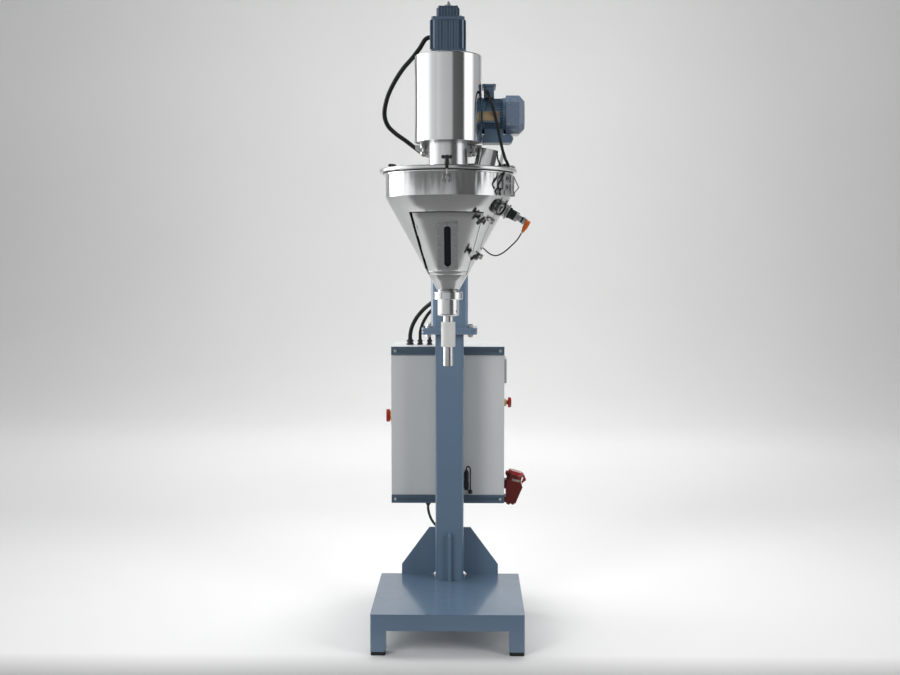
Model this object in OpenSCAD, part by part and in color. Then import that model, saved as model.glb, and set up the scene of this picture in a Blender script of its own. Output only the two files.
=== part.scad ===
// Floor-standing auger filler: a dosing head with hopper on a mast, and its control cabinet.
// Millimetres, +X to the right, +Y away from the operator, +Z up, floor at Z = 0.

/* [Base] */
// Width of the base
base_w = 500; // [420:10:600]
// Depth of the base, from the column's rear face forwards
base_d = 512; // [440:8:600]
// Height of the top plate above the floor
base_h = 135; // [120:5:180]
// Side of the square tube of the base
base_tube = 50; // [40:5:60]
// Wall of the square tube of the base
base_wall = 3; // [2:0.5:5]
// Thickness of the top plate
plate_t = 4; // [3:1:8]
// Height of each black foot pad
pad_h = 12; // [8:1:20]

/* [Column and mast] */
// Side of the lower column
column_w = 100; // [90:5:110]
// Height of the column's top above the cabinet
column_over = 63.4; // [50:0.1:90]
// Side of the upper mast
mast_w = 130; // [110:5:130]
// Top of the upper mast
mast_top = 1660; // [1655:1:1670]
// Wall of column and mast
post_wall = 5; // [3:1:8]
// Thickness of each joining flange
flange_t = 12; // [8:1:16]
// Width of the joining flanges
flange_w = 195; // [185:5:220]
// Depth of the joining flanges
flange_d = 160; // [155:5:190]
// Height of the column's gussets
gusset_h = 173; // [120:1:200]
// Reach of each gusset from the column's axis
gusset_reach = 175; // [120:5:220]

/* [Cabinet] */
// Width of the cabinet
cab_w = 410; // [380:10:440]
// Depth of the cabinet with its door
cab_d = 265; // [240:5:320]
// Height of the cabinet
cab_h = 571; // [540:1:600]
// Underside of the cabinet above the floor
cab_z = 394.6; // [370:0.1:420]
// Sheet thickness of the cabinet
cab_wall = 2; // [1.5:0.5:3]
// Depth of the folded door
door_t = 17; // [14:1:24]
// Height of each rail that carries the cabinet
rail_h = 30; // [24:2:40]
// Thickness of each rail
rail_t = 6; // [4:1:10]

/* [Hopper] */
// Outer diameter of the hopper's cylinder
hopper_d = 410; // [380:5:430]
// Height of the seam between cylinder and cone
cone_top = 1480; // [1470:1:1490]
// Half angle of the cone in degrees
cone_ang = 29.2; // [28:0.1:31]
// Sheet thickness of the hopper
hopper_wall = 3; // [2:0.5:4]
// Top edge of the hopper's cylinder
hopper_rim_z = 1556.5; // [1550:0.5:1560]
// Thickness of the gasket under the lid
gasket_t = 3; // [2:0.5:5]
// Outer diameter of the lid
lid_d = 450; // [440:5:470]
// Thickness of the lid at its rim
lid_t = 12.5; // [10:0.5:16]
// Diameter of the neck between lid and drive
neck_d = 128; // [110:2:140]

/* [Hatch] */
// Height of the hatch's upper seam
hatch_top = 1426; // [1415:1:1440]
// Height of the hatch's lower seam
hatch_bottom = 1235; // [1225:1:1250]
// Half width of the hatch at its upper seam
hatch_half_top = 113; // [100:1:120]
// Half width of the hatch at its lower seam
hatch_half_bottom = 62; // [54:1:64]
// Width of the groove on the hinge side
hinge_gap = 9; // [8:0.5:12]
// Width of the sight frame
sight_w = 66; // [54:2:80]
// Length of the sight frame along the cone
sight_l = 170; // [150:2:176]
// Width of the sight slot
sight_slot_w = 21.5; // [14:0.5:28]
// Length of the sight slot
sight_slot_l = 146; // [110:2:150]

/* [Outlet] */
// Outer diameter of the auger tube
tube_d = 33; // [30:1:36]
// Wall of the auger tube
tube_wall = 1.5; // [1:0.5:2]
// Height of the tube's open end
tube_end_z = 928; // [900:2:950]
// Diameter of the tube adapter
adapter_d = 72; // [66:2:76]
// Underside of the tube adapter
adapter_z = 1093; // [1085:1:1100]
// Diameter of the union nut
nut_d = 96; // [90:2:104]
// Height of the union nut
nut_h = 26; // [22:1:30]
// Underside of the union nut
nut_z = 1147.5; // [1145:0.5:1150]
// Diameter of the plastic sleeve on the tube
sleeve_d = 47; // [42:1:54]
// Length of the plastic sleeve
sleeve_l = 83; // [60:1:90]
// Pitch of the auger's flight
auger_pitch = 28; // [22:1:34]
// Running gap between flight and tube
auger_gap = 0.8; // [0.5:0.1:1.2]

/* [Drive head] */
// Diameter of the drive casing
casing_d = 218; // [214:1:226]
// Height of the drive casing
casing_h = 280; // [260:5:300]
// Width of the servo motor
servo_w = 112; // [100:2:120]
// Height of the servo motor's body
servo_h = 117; // [100:1:130]
// Height of the encoder cap on the servo
cap_h = 38; // [30:1:46]
// Width of the encoder cap
cap_w = 71; // [60:1:80]

/* [Gear motor] */
// Height of the gear motor's axis
gear_z = 1752; // [1745:1:1760]
// Distance of the gear motor's axis behind the auger
gear_y = 50; // [46:1:54]
// Width of the fan cowl
cowl_w = 124.5; // [116:0.5:130]
// Length of the fan cowl
cowl_l = 61; // [50:1:70]
// Length of the motor body outside the casing
motor_l = 78; // [70:1:84]

/* [Inlet] */
// Outer diameter of the inlet pipe
inlet_d = 90; // [70:2:96]
// Length of the inlet pipe along its axis
inlet_l = 66; // [60:2:90]
// Lean of the inlet pipe in degrees
inlet_lean = 13; // [8:1:16]

/* [Hidden] */
$fn = 64;

// Centre of the footprint, seen from the auger's axis
origin_x = 16.3;
origin_y = 207.25;

// Clearances
run_gap = 0.3;
fit_gap = 0.05;

// Base and column
base_rear = 360;
base_front = base_rear - base_d;
column_y = base_rear - column_w / 2;
column_r = 8;
tube_r = 5;
mast_y = column_y;
mast_r = 18;
column_top = cab_z + cab_h + column_over;
mast_foot = column_top + flange_t;
flange_r = 16;
flange_bolt_x = flange_w / 2 - 23.5;
flange_bolt_y = flange_d / 2 - 20;
flange_bolt_d = 10;
gusset_t = 8;
gusset_edge = 37;
gusset_top_w = 25;
gusset_cope = 12;
rib_w = 12;
rib_reach = 16;
cable_hole_z = 292;

// Cabinet
cab_x = -8;
cab_left = cab_x - cab_w / 2;
cab_right = cab_x + cab_w / 2;
cab_top = cab_z + cab_h;
cab_front = base_rear + rail_t;
cab_back = cab_front + cab_d;
door_gap = 2;
shell_back = cab_back - door_t - door_gap;
rail_screw_in = 16;
top_glands = [[-149, 463, 24], [-112, 463, 18], [-77, 463, 18]];
gland_h = 22;
bottom_gland = [-82, 440, 18];
gland_bottom_h = 23.6;
hinge_pin_r = 2.5;
door_hinge = [cab_left - 4.5, shell_back + 6];
door_hinge_r = 4;
door_hinge_h = 60;
door_hinge_z = [cab_z + 70, cab_top - 130];
lock_x = cab_right - 24;
lock_z = cab_z + cab_h / 2;
lock_r = 11;
hmi_z = [828, 917];
hmi_y = [410, 570];
hmi_t = 9.6;
estop_pos = [cab_right, 470, 751];
estop_collar_r = 14;
estop_collar_t = 10.7;
estop_head_r = 19;
estop_head_t = 13;
estop_travel = 4;
isolator_pos = [cab_left, 468, 702];
isolator_w = 56;
isolator_t = 9;
isolator_handle_l = 39;

// Power socket on the cabinet's right side
socket_y = 480;
socket_w = 70;
socket_back = cab_right + 10;
socket_tilt = 17;
socket_mouth = [244, 484];
socket_r = 27;
socket_bore_r = 22.5;
socket_lid_r = 30;
socket_lid_t = 9;
socket_skirt = 5;
socket_hinge = [-socket_lid_r - 3, -socket_skirt];

// Hopper
cone_k = tan(cone_ang);
hopper_r = hopper_d / 2;
hopper_rim_w = 9;
hopper_rim_t = 4.5;
spout_r = 36;
spout_bore = 30;
spout_top = cone_top - (hopper_r - spout_r) / cone_k;
spout_end = 1160;
lid_z = hopper_rim_z + gasket_t;
lid_top = lid_z + lid_t;
lid_skin = 3;
shaft_hole_r = 34;
head_z = mast_top;
head_t = 12;
agitator_shaft_r = 21;
auger_shaft_r = 12.5;

// Clamps on the lid
clamp_az = [0, 120, -120];
clamp_r = hopper_r + 15;
clamp_pivot_z = 1534;
clamp_slot_w = 12;
eye_r = 7.5;
eye_t = 9;
stud_r = 3;
knob_bore_r = 3.3;
clamp_pin_r = 3.5;
lug_t = 4;
knob_stem_r = 5;
knob_span = 34;
knob_top = 1600;

// Hatch
hatch_gap = 1.5;
hatch_top_gap = 3;
hatch_low_gap = 4;
hatch_slope = (hatch_half_top - hatch_half_bottom) / (hatch_top - hatch_bottom);
hinge_x_top = hatch_half_top + hinge_gap / 2;
hinge_x_low = hatch_half(1250) + hinge_gap / 2;
hinge_top = [-hinge_x_top, -sqrt(pow(cone_r(hatch_top), 2) - pow(hinge_x_top, 2)) - 0.5, hatch_top];
hinge_low = [-hinge_x_low, -sqrt(pow(cone_r(1250), 2) - pow(hinge_x_low, 2)) - 0.5, 1250];
hinge_dir = (hinge_top - hinge_low) / norm(hinge_top - hinge_low);
hinge_len = norm(hinge_top - hinge_low);
knuckle_r = 3.4;
hinge_leaf = 11;
hinge_relief = 0.3;
hinge_pin = 1.6;
hinge_az = -50;
sight_mid = 1322;
sight_t = 5;
sight_screw_inset = 8;
sight_screw_r = 1.6;
sight_rows = 5;
hatch_clamp_z = [1406, 1294];
hatch_clamp_arc = 40;
hatch_pivot_h = 13;
hatch_seat = 50;
hatch_ear_t = 4;
hatch_pin_r = 2.5;
hatch_knob_h = 22;

// Inlet
inlet_pos = [lid_d / 2 - 98, 20];
inlet_wall = 2;

// Level sensor on the cone's right side
sensor_z = 1441;

// Tube: the free end keeps its full diameter over the grip, the rest is turned down for its seats
tube_grip_l = 62;
tube_seat_r = tube_d / 2 - 0.2;

// Drive head
casing_wall = 2;
casing_top = head_z + casing_h;
servo_flange_t = 12;
servo_lobe = 24;
motor_x = 111;
motor_r = 57;
cowl_x = motor_x + motor_l;
cowl_wall = 2;
fan_r = 50;
box_x = [117, 150];
box_y = [-2, 92];
box_z = [1806, 1842];
gearbox_half = [[-55, -60], [60, 82]];
gearbox_z = [1690, 1812];

// Cords: tube radius, then the route's own points
servo_cable_r = 7.5;
servo_cable_pts = [[-56, 30, 2007], [-75, 32, 2000], [-94, 36, 1972], [-115, 42, 1940],
    [-142, 52, 1905], [-168, 64, 1862], [-190, 78, 1815], [-200, 92, 1765], [-195, 112, 1718],
    [-178, 136, 1690], [-150, 170, 1668], [-120, 215, 1652], [-95, 265, 1645], [-65, 300, 1642]];
motor_cable_r = 4.8;
motor_cable_pts = [[127, -16, 1822], [127, -28, 1822], [130, -39, 1814], [137, -45, 1792],
    [149, -46, 1755], [159, -43, 1715], [167, -41, 1675], [175, -38, 1640], [185, -28, 1608],
    [195, -6, 1590], [198, 28, 1583], [185, 62, 1583], [160, 92, 1586], [128, 128, 1592],
    [104, 200, 1602], [93, 268, 1610], [65, 290, 1612]];
sensor_cable_r = 2.2;
sensor_cable_pts = [[241, 0, 1366], [233, 0, 1352], [222, 2, 1338], [209, 5, 1325], [190, 10, 1308],
    [172, 18, 1296], [155, 30, 1292], [138, 50, 1298], [122, 80, 1312], [106, 120, 1328],
    [86, 170, 1342], [58, 220, 1350], [40, 245, 1350]];
trunk_r = 5;
trunk_a_pts = lifted([[-40, 375, 140], [-48, 392, 142], [-66, 414, 136], [-96, 436, 112],
    [-122, 450, 82], [-140, 459, 50], [-148, 463, 20], [-149, 463, 0]], cab_top + gland_h);
trunk_b_pts = lifted([[-40, 375, 120], [-46, 394, 122], [-60, 418, 114], [-82, 442, 92],
    [-100, 456, 62], [-110, 462, 32], [-112, 463, 16], [-112, 463, 0]], cab_top + gland_h);
trunk_c_pts = lifted([[-40, 375, 100], [-43, 394, 102], [-50, 418, 94], [-62, 442, 74],
    [-72, 458, 48], [-77, 463, 26], [-77, 463, 12], [-77, 463, 0]], cab_top + gland_h);
lower_cable_r = 4.7;
lower_cable_pts = [[-82, 440, 371], [-82, 440, 356], [-78, 436, 338], [-68, 424, 318],
    [-52, 404, 302], [-34, 384, 293], [-20, 368, 292], [-20, 357, 292]];
lead_r = 2.5;
lead_pts = [[60, 344, 520], [60, 344, 524], [62, 342, 530], [67, 337, 533], [72, 332, 530],
    [74, 330, 523], [74, 330, 500], [74, 330, 475], [74, 333, 458], [74, 341, 444], [74, 354, 436]];

// Radius of the hopper's outer face at a height
function cone_r(z) = hopper_r - (cone_top - z) * cone_k;
// Half width of the hatch at a height
function hatch_half(z) = hatch_half_bottom + (z - hatch_bottom) * hatch_slope;
function unit(v) = v / norm(v);
// Points raised by a height
function lifted(pts, h) = [for (p = pts) p + [0, 0, h]];

// Puts the machine's own axes into the frame of the part
module place() {
    translate([-origin_x, -origin_y, 0]) children();
}

// Flat rectangle with round corners, about its centre
module rrect(w, d, r) {
    square([w - 2 * r, d], center = true);
    square([w, d - 2 * r], center = true);
    for (sx = [-1, 1], sy = [-1, 1])
        translate([sx * (w / 2 - r), sy * (d / 2 - r)]) circle(r);
}

module rpost(w, d, r, h) {
    linear_extrude(h) rrect(w, d, r);
}

// Square tube with round corners, standing on its centre
module box_tube(w, r, wall, h) {
    difference() {
        rpost(w, w, r, h);
        translate([0, 0, -1]) rpost(w - 2 * wall, w - 2 * wall, max(r - wall, 1), h + 2);
    }
}

module ring(r_out, r_in, z0, z1) {
    translate([0, 0, z0]) difference() {
        cylinder(r = r_out, h = z1 - z0);
        translate([0, 0, -1]) cylinder(r = r_in, h = z1 - z0 + 2);
    }
}

module hex(af, h) {
    cylinder(d = af / cos(30), h = h, $fn = 6);
}

// Flat slot with round ends along Y
module slot_2d(w, l) {
    square([w, l - w], center = true);
    for (s = [-1, 1]) translate([0, s * (l - w) / 2]) circle(w / 2);
}

// Closed skin through equal rings of points
module skin(rings) {
    m = len(rings[0]);
    n = len(rings);
    side = [for (i = [0 : n - 2], j = [0 : m - 1])
        [i * m + j, (i + 1) * m + j, (i + 1) * m + (j + 1) % m, i * m + (j + 1) % m]];
    start = [for (j = [0 : m - 1]) j];
    end = [for (j = [m - 1 : -1 : 0]) (n - 1) * m + j];
    polyhedron([for (r = rings) each r], concat([start], side, [end]));
}

// Round cord through its route's points, ref being a direction that it never runs along
module cord(pts, r, sides, ref, first, last) {
    n = len(pts);
    skin([for (i = [0 : n - 1])
        let (t = i == 0 ? unit(first) : i == n - 1 ? unit(last) : unit(pts[i + 1] - pts[i - 1]),
             u = unit(cross(t, ref)), v = cross(t, u))
        [for (j = [0 : sides - 1])
            pts[i] + r * (cos(360 * j / sides) * u + sin(360 * j / sides) * v)]]);
}

// Local frame on the cone: z out of the surface, y up the slope, az counted from the front
module on_cone(az, z) {
    rotate([0, 0, az]) translate([0, -cone_r(z), z]) rotate([90 + cone_ang, 0, 0]) children();
}

// Local frame at a clamp on the lid: -Y points outwards
module at_clamp(az) {
    rotate([0, 0, az]) translate([0, -clamp_r, 0]) children();
}

module base_frame() {
    leg_x = base_w / 2 - base_tube / 2;
    leg_y = base_d / 2 - base_tube / 2;
    ring_z = base_h - plate_t - base_tube;
    mid_y = (base_rear + base_front) / 2;
    color("#5f7d99") place() translate([0, mid_y, 0]) {
        for (sx = [-1, 1], sy = [-1, 1])
            translate([sx * leg_x, sy * leg_y, pad_h])
                box_tube(base_tube, tube_r, base_wall, ring_z - pad_h);
        translate([0, 0, ring_z]) difference() {
            rpost(base_w, base_d, tube_r, base_tube);
            translate([0, 0, -1])
                rpost(base_w - 2 * base_tube, base_d - 2 * base_tube, 1, base_tube + 2);
        }
        translate([0, 0, base_h - plate_t]) rpost(base_w, base_d, 3, plate_t);
    }
}

module foot_pads() {
    pad_x = base_w / 2 - base_tube / 2;
    pad_y = base_d / 2 - base_tube / 2;
    plug_w = base_tube - 2 * base_wall - 0.6;
    plug_h = 16;
    color("#1b1b1d") place() translate([0, (base_rear + base_front) / 2, 0])
        for (sx = [-1, 1], sy = [-1, 1]) translate([sx * pad_x, sy * pad_y, 0]) {
            rpost(base_tube - 2, base_tube - 2, 6, pad_h);
            translate([0, 0, pad_h]) rpost(plug_w, plug_w, 2, plug_h);
        }
}

// Plate that joins column and mast, with its four bolt holes
module joint_flange(bore_w) {
    difference() {
        rpost(flange_w, flange_d, flange_r, flange_t);
        translate([0, 0, -1]) rpost(bore_w, bore_w, 4, flange_t + 2);
        for (sx = [-1, 1], sy = [-1, 1])
            translate([sx * flange_bolt_x, sy * flange_bolt_y, -1])
                cylinder(d = flange_bolt_d + 1, h = flange_t + 2);
    }
}

// Trapezoid plate beside the column's foot, drawn for the right side
module gusset() {
    inner = column_w / 2;
    translate([0, gusset_t / 2, 0]) rotate([90, 0, 0]) linear_extrude(gusset_t)
        polygon([[inner, gusset_cope], [inner + gusset_cope, 0], [gusset_reach, 0],
            [gusset_reach, gusset_edge], [inner + gusset_top_w, gusset_h], [inner, gusset_h]]);
}

module front_rib() {
    rib_h = gusset_h + 2;
    rotate([90, 0, 90]) translate([0, 0, -rib_w / 2]) linear_extrude(rib_w) {
        translate([-rib_reach, 0]) square([rib_reach, rib_h - rib_reach]);
        intersection() {
            translate([0, rib_h - rib_reach]) circle(rib_reach);
            translate([-rib_reach, rib_h - rib_reach - 1]) square([rib_reach, rib_reach + 1]);
        }
    }
}

module column() {
    tube_h = column_top - flange_t - base_h;
    color("#5f7d99") place() difference() {
        union() {
            translate([0, column_y, base_h]) box_tube(column_w, column_r, post_wall, tube_h);
            translate([0, column_y, column_top - flange_t])
                joint_flange(column_w - 2 * post_wall - 8);
            for (m = [0, 1]) mirror([m, 0, 0])
                translate([0, base_rear - gusset_t / 2 - 2, base_h]) gusset();
            translate([0, base_rear - column_w, base_h]) front_rib();
        }
        translate([lower_cable_pts[7][0], base_rear + 1, cable_hole_z]) rotate([90, 0, 0])
            cylinder(r = lower_cable_r + 0.5, h = post_wall + 2);
    }
}

module mast() {
    color("#5f7d99") place() difference() {
        union() {
            translate([0, mast_y, mast_foot])
                box_tube(mast_w, mast_r, post_wall, mast_top - mast_foot);
            translate([0, mast_y, column_top]) joint_flange(column_w - 2 * post_wall - 8);
        }
        // Cable slot in the rear face and the round entries of the single cables
        translate([trunk_b_pts[0][0], mast_y + mast_w / 2 + 1, trunk_b_pts[0][2]]) rotate([90, 0, 0])
            linear_extrude(post_wall + 2) slot_2d(2 * trunk_r + 4, 2 * trunk_r + 46);
        translate([-mast_w / 2 - 1, servo_cable_pts[13][1], servo_cable_pts[13][2]])
            rotate([0, 90, 0]) cylinder(r = servo_cable_r + 1, h = post_wall + 2);
        translate([mast_w / 2 - post_wall - 1, motor_cable_pts[16][1], motor_cable_pts[16][2]])
            rotate([0, 90, 0]) cylinder(r = motor_cable_r + 1, h = post_wall + 2);
        translate([sensor_cable_pts[12][0], mast_y - mast_w / 2 + post_wall + 1, sensor_cable_pts[12][2]])
            rotate([90, 0, 0]) cylinder(r = sensor_cable_r + 1, h = post_wall + 2);
    }
}

// Plate that carries the drive, with the trapezoid hanger plate and its two webs
module head_bracket() {
    plate_r = casing_d / 2 - casing_wall - 2;
    tail_w = 120;
    hanger_y = 75;
    hanger_t = 12;
    hanger_h = 40;
    web_t = 8;
    mast_front = mast_y - mast_w / 2;
    color("#b9bcbd") place() {
        difference() {
            union() {
                translate([0, 0, head_z]) cylinder(r = plate_r, h = head_t);
                translate([-tail_w / 2, hanger_y, head_z])
                    cube([tail_w, mast_y + mast_w / 2 - hanger_y, head_t]);
            }
            translate([0, 0, head_z - 1]) cylinder(r = shaft_hole_r, h = head_t + 2);
        }
        translate([0, hanger_y + hanger_t, head_z - hanger_h]) rotate([90, 0, 0])
            linear_extrude(hanger_t) difference() {
                polygon([[-75, 0], [75, 0], [111, 26], [111, hanger_h], [-111, hanger_h], [-111, 26]]);
                for (s = [-1, 1]) translate([s * 52, 22]) circle(5.5);
            }
        for (s = [-1, 1]) translate([s * 42 - web_t / 2, 0, 0]) rotate([90, 0, 90])
            linear_extrude(web_t) polygon([[hanger_y + hanger_t, head_z], [mast_front, head_z],
                [mast_front, head_z - 62], [hanger_y + hanger_t, head_z - 28]]);
    }
}

module hex_bolt(d, shank) {
    hex(1.6 * d, 0.64 * d);
    translate([0, 0, 0.64 * d]) cylinder(r1 = 0.7 * d, r2 = 0.5 * d, h = 0.06 * d);
    translate([0, 0, -shank]) cylinder(d = d, h = shank);
}

module dome_screw(r, h) {
    sphere_r = (r * r + h * h) / (2 * h);
    intersection() {
        translate([0, 0, h - sphere_r]) sphere(sphere_r);
        cylinder(r = r, h = h);
    }
}

// Flange bolts with nuts, the hanger's dome nuts and the rail's corner screws
module frame_fasteners() {
    nut_t = 8;
    rail_z = [cab_z + rail_h / 2, cab_top - rail_h / 2];
    color("#c9cbcc") place() {
        for (sx = [-1, 1], sy = [-1, 1])
            translate([sx * flange_bolt_x, column_y + sy * flange_bolt_y, 0]) {
                translate([0, 0, mast_foot]) hex_bolt(flange_bolt_d, 2 * flange_t + nut_t + 2);
                translate([0, 0, column_top - flange_t - nut_t]) difference() {
                    hex(1.6 * flange_bolt_d, nut_t);
                    translate([0, 0, -1]) cylinder(d = flange_bolt_d - 0.02, h = nut_t + 2);
                }
            }
        for (s = [-1, 1]) translate([s * 75, 75, head_z - 27]) rotate([90, 0, 0]) {
            cylinder(r = 9, h = 1.5);
            translate([0, 0, 1.5]) hex(13, 6);
            translate([0, 0, 7.5]) dome_screw(6, 4.5);
        }
        for (x = [cab_left + rail_screw_in, cab_right - rail_screw_in], z = rail_z)
            translate([x, base_rear, z]) rotate([90, 0, 0]) dome_screw(6, 3.2);
    }
}

module cabinet_rails() {
    color("#5f7d99") place() for (z = [cab_z, cab_top - rail_h]) difference() {
        translate([cab_left, base_rear, z]) cube([cab_w, rail_t, rail_h]);
        for (x = [cab_left + rail_screw_in, cab_right - rail_screw_in])
            translate([x, base_rear - 1, z + rail_h / 2]) rotate([-90, 0, 0])
                cylinder(r = 3, h = rail_t + 2);
    }
}

module cabinet_shell() {
    shell_d = shell_back - cab_front;
    lip = 14;
    third = door_hinge_h / 3;
    color("#c3c6c8") place() {
        difference() {
            translate([cab_left, cab_front, cab_z]) cube([cab_w, shell_d, cab_h]);
            translate([cab_left + cab_wall, cab_front + cab_wall, cab_z + cab_wall])
                cube([cab_w - 2 * cab_wall, shell_d - 2 * cab_wall, cab_h - 2 * cab_wall]);
            translate([cab_left + lip, shell_back - cab_wall - 1, cab_z + lip])
                cube([cab_w - 2 * lip, cab_wall + 2, cab_h - 2 * lip]);
            for (g = top_glands) translate([g[0], g[1], cab_top - cab_wall - 1])
                cylinder(r = g[2] / 2 - 4, h = cab_wall + 2);
            translate([bottom_gland[0], bottom_gland[1], cab_z - 1])
                cylinder(r = bottom_gland[2] / 2 - 4, h = cab_wall + 2);
            translate([estop_pos[0] - cab_wall - 1, estop_pos[1], estop_pos[2]]) rotate([0, 90, 0])
                cylinder(r = 11, h = cab_wall + 2);
            translate([isolator_pos[0] - 1, isolator_pos[1], isolator_pos[2]]) rotate([0, 90, 0])
                cylinder(r = 8, h = cab_wall + 2);
        }
        for (z = door_hinge_z) translate([door_hinge[0], door_hinge[1], z]) {
            cylinder(r = hinge_pin_r, h = door_hinge_h);
            for (k = [0, 2]) translate([0, 0, k * third]) {
                cylinder(r = door_hinge_r, h = third - run_gap);
                translate([1.5, -22, 0]) cube([3.5, 16, third - run_gap]);
                translate([-1.5, -8, 0]) cube([4, 6, third - run_gap]);
            }
        }
    }
}

// Mounting plate with servo drive, inverter, power supply and a rail of terminals
module cabinet_electrics() {
    plate_y = cab_front + cab_wall + 18;
    front_y = plate_y + 3;
    plate_x = [cab_left + 25, cab_right - 25];
    plate_z = [cab_z + 30, cab_top - 30];
    color("#8f9498") place() {
        translate([plate_x[0], plate_y, plate_z[0]])
            cube([plate_x[1] - plate_x[0], 3, plate_z[1] - plate_z[0]]);
        for (x = [plate_x[0] + 12, plate_x[1] - 12], z = [plate_z[0] + 12, plate_z[1] - 12])
            translate([x, plate_y, z]) rotate([90, 0, 0]) cylinder(r = 4, h = 18);
        for (d = [[-150, 60, 700, 170, 140], [-60, 80, 710, 150, 120], [60, 60, 720, 130, 100]]) {
            translate([d[0], front_y, d[2]]) difference() {
                cube([d[1], d[4], d[3]]);
                for (k = [0 : 5]) translate([-1, d[4] * 0.2 + k * d[4] * 0.11, -1])
                    cube([5, d[4] * 0.05, d[3] + 2]);
            }
        }
        for (z = [500, 610]) {
            translate([plate_x[0] + 20, front_y, z - 17.5]) cube([300, 7.5, 35]);
            for (k = [0 : 9]) translate([plate_x[0] + 30 + k * 28, front_y + 7.5, z - 30])
                cube([k % 4 == 3 ? 14 : 26, 45, 60]);
        }
    }
}

module cabinet_door() {
    third = door_hinge_h / 3;
    pan_y = shell_back + door_gap;
    color("#c3c6c8") place() {
        difference() {
            translate([cab_left, pan_y, cab_z]) cube([cab_w, door_t, cab_h]);
            translate([cab_left + cab_wall, pan_y - 1, cab_z + cab_wall])
                cube([cab_w - 2 * cab_wall, door_t - cab_wall + 1, cab_h - 2 * cab_wall]);
            translate([lock_x, cab_back - cab_wall - 1, lock_z]) rotate([-90, 0, 0])
                cylinder(r = lock_r - 3 + run_gap, h = cab_wall + 2);
        }
        for (z = door_hinge_z) difference() {
            translate([door_hinge[0], door_hinge[1], z + third]) {
                cylinder(r = door_hinge_r, h = third - run_gap);
                translate([-1, 0, 0]) cube([6, 7, third - run_gap]);
            }
            translate([door_hinge[0], door_hinge[1], z])
                cylinder(r = hinge_pin_r + fit_gap, h = door_hinge_h);
        }
    }
}

// Quarter-turn lock: wing outside, barrel through the door, cam inside, here unlocked
module door_lock() {
    cam_t = 3;
    cam_y = shell_back - cab_wall - 1 - cam_t;
    cam_l = 20;
    color("#2a2b2d") place() translate([lock_x, 0, lock_z]) {
        translate([0, cab_back, 0]) rotate([-90, 0, 0]) {
            translate([0, 0, run_gap]) cylinder(r = lock_r, h = 3);
            translate([0, 0, 3]) linear_extrude(9) slot_2d(8, 2 * lock_r - 2);
        }
        translate([0, cam_y, 0]) rotate([-90, 0, 0]) cylinder(r = lock_r - 3, h = cab_back - cam_y + 1);
        translate([-8, cam_y, -8]) cube([16, cam_t, 8 + cam_l]);
    }
}

module gland(d, h, cable_r) {
    difference() {
        union() {
            hex(d, h * 0.3);
            translate([0, 0, h * 0.3]) cylinder(d = d * 0.86, h = h * 0.2);
            translate([0, 0, h * 0.5]) hex(d * 0.94, h * 0.28);
            translate([0, 0, h * 0.78]) cylinder(d1 = d * 0.9, d2 = d * 0.72, h = h * 0.22);
        }
        translate([0, 0, -1]) cylinder(r = cable_r - 1.4, h = h + 2);
    }
}

module cable_glands() {
    color("#18191b") place() {
        for (g = top_glands) translate([g[0], g[1], cab_top]) gland(g[2], gland_h, trunk_r);
        translate([bottom_gland[0], bottom_gland[1], cab_z]) mirror([0, 0, 1])
            gland(bottom_gland[2], gland_bottom_h, lower_cable_r);
        panel_connector();
    }
}

// Plug connector on the cabinet's front beside the column, and the entry of its lead
module panel_connector() {
    top = lead_pts[0];
    end = lead_pts[len(lead_pts) - 1];
    hood = [[0, 520], [4.5, 520], [9, 510], [9.2, 486], [8, 484], [8, 479], [0, 479]];
    translate([top[0], top[1], 0]) {
        rotate_extrude() polygon(hood);
        translate([-9, -10, 455]) cube([18, cab_front - top[1] + 10, 24]);
        translate([0, 0, 446]) cylinder(r = 8, h = 9);
    }
    translate([end[0], cab_front, end[2]]) rotate([90, 0, 0]) {
        cylinder(r = 8, h = 4);
        cylinder(r1 = 6.5, r2 = 4, h = cab_front - end[1]);
    }
}

module hmi_panel() {
    color("#b4b8bb") place() translate([cab_right, 0, 0]) {
        depth = hmi_y[1] - hmi_y[0];
        height = hmi_z[1] - hmi_z[0];
        translate([0, (hmi_y[0] + hmi_y[1]) / 2, (hmi_z[0] + hmi_z[1]) / 2]) rotate([90, 0, 90])
            difference() {
                rpost(depth, height, 5, hmi_t);
                translate([0, 0, hmi_t - 1.2]) rpost(depth - 22, height - 20, 2, 3);
            }
    }
}

// Yellow collar of the emergency stop and yellow plate of the main switch
module switch_plates() {
    color("#d9a51c") place() {
        translate(estop_pos) rotate([0, 90, 0]) difference() {
            union() {
                cylinder(r = estop_collar_r, h = estop_collar_t);
                cylinder(r = estop_collar_r + 6, h = 3);
                translate([0, 0, -cab_wall - 20]) cylinder(r = 10.5, h = cab_wall + 20);
            }
            translate([0, 0, -18]) cylinder(r = 8 + run_gap, h = estop_collar_t + 20);
        }
        translate(isolator_pos) rotate([0, -90, 0]) difference() {
            union() {
                rpost(isolator_w, isolator_w, 5, isolator_t - 3);
                cylinder(r = 22, h = isolator_t - 0.5);
                translate([0, 0, -cab_wall - 40]) cylinder(r = 7.5, h = cab_wall + 40);
            }
            translate([0, 0, -30]) cylinder(r = 5 + run_gap, h = isolator_t + 32);
        }
    }
}

module estop_button() {
    head_r = estop_head_r;
    stem_end = estop_collar_t + estop_travel + 1.5;
    color("#b3261e") place() translate(estop_pos) rotate([0, 90, 0]) rotate_extrude()
        polygon(concat([[0, -8], [8, -8], [8, stem_end], [head_r - 5, stem_end],
            [head_r, stem_end + 4]],
            [for (a = [0 : 15 : 90])
                [head_r * cos(a), stem_end + 6 + (estop_head_t - 6) * sin(a)]]));
}

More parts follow.
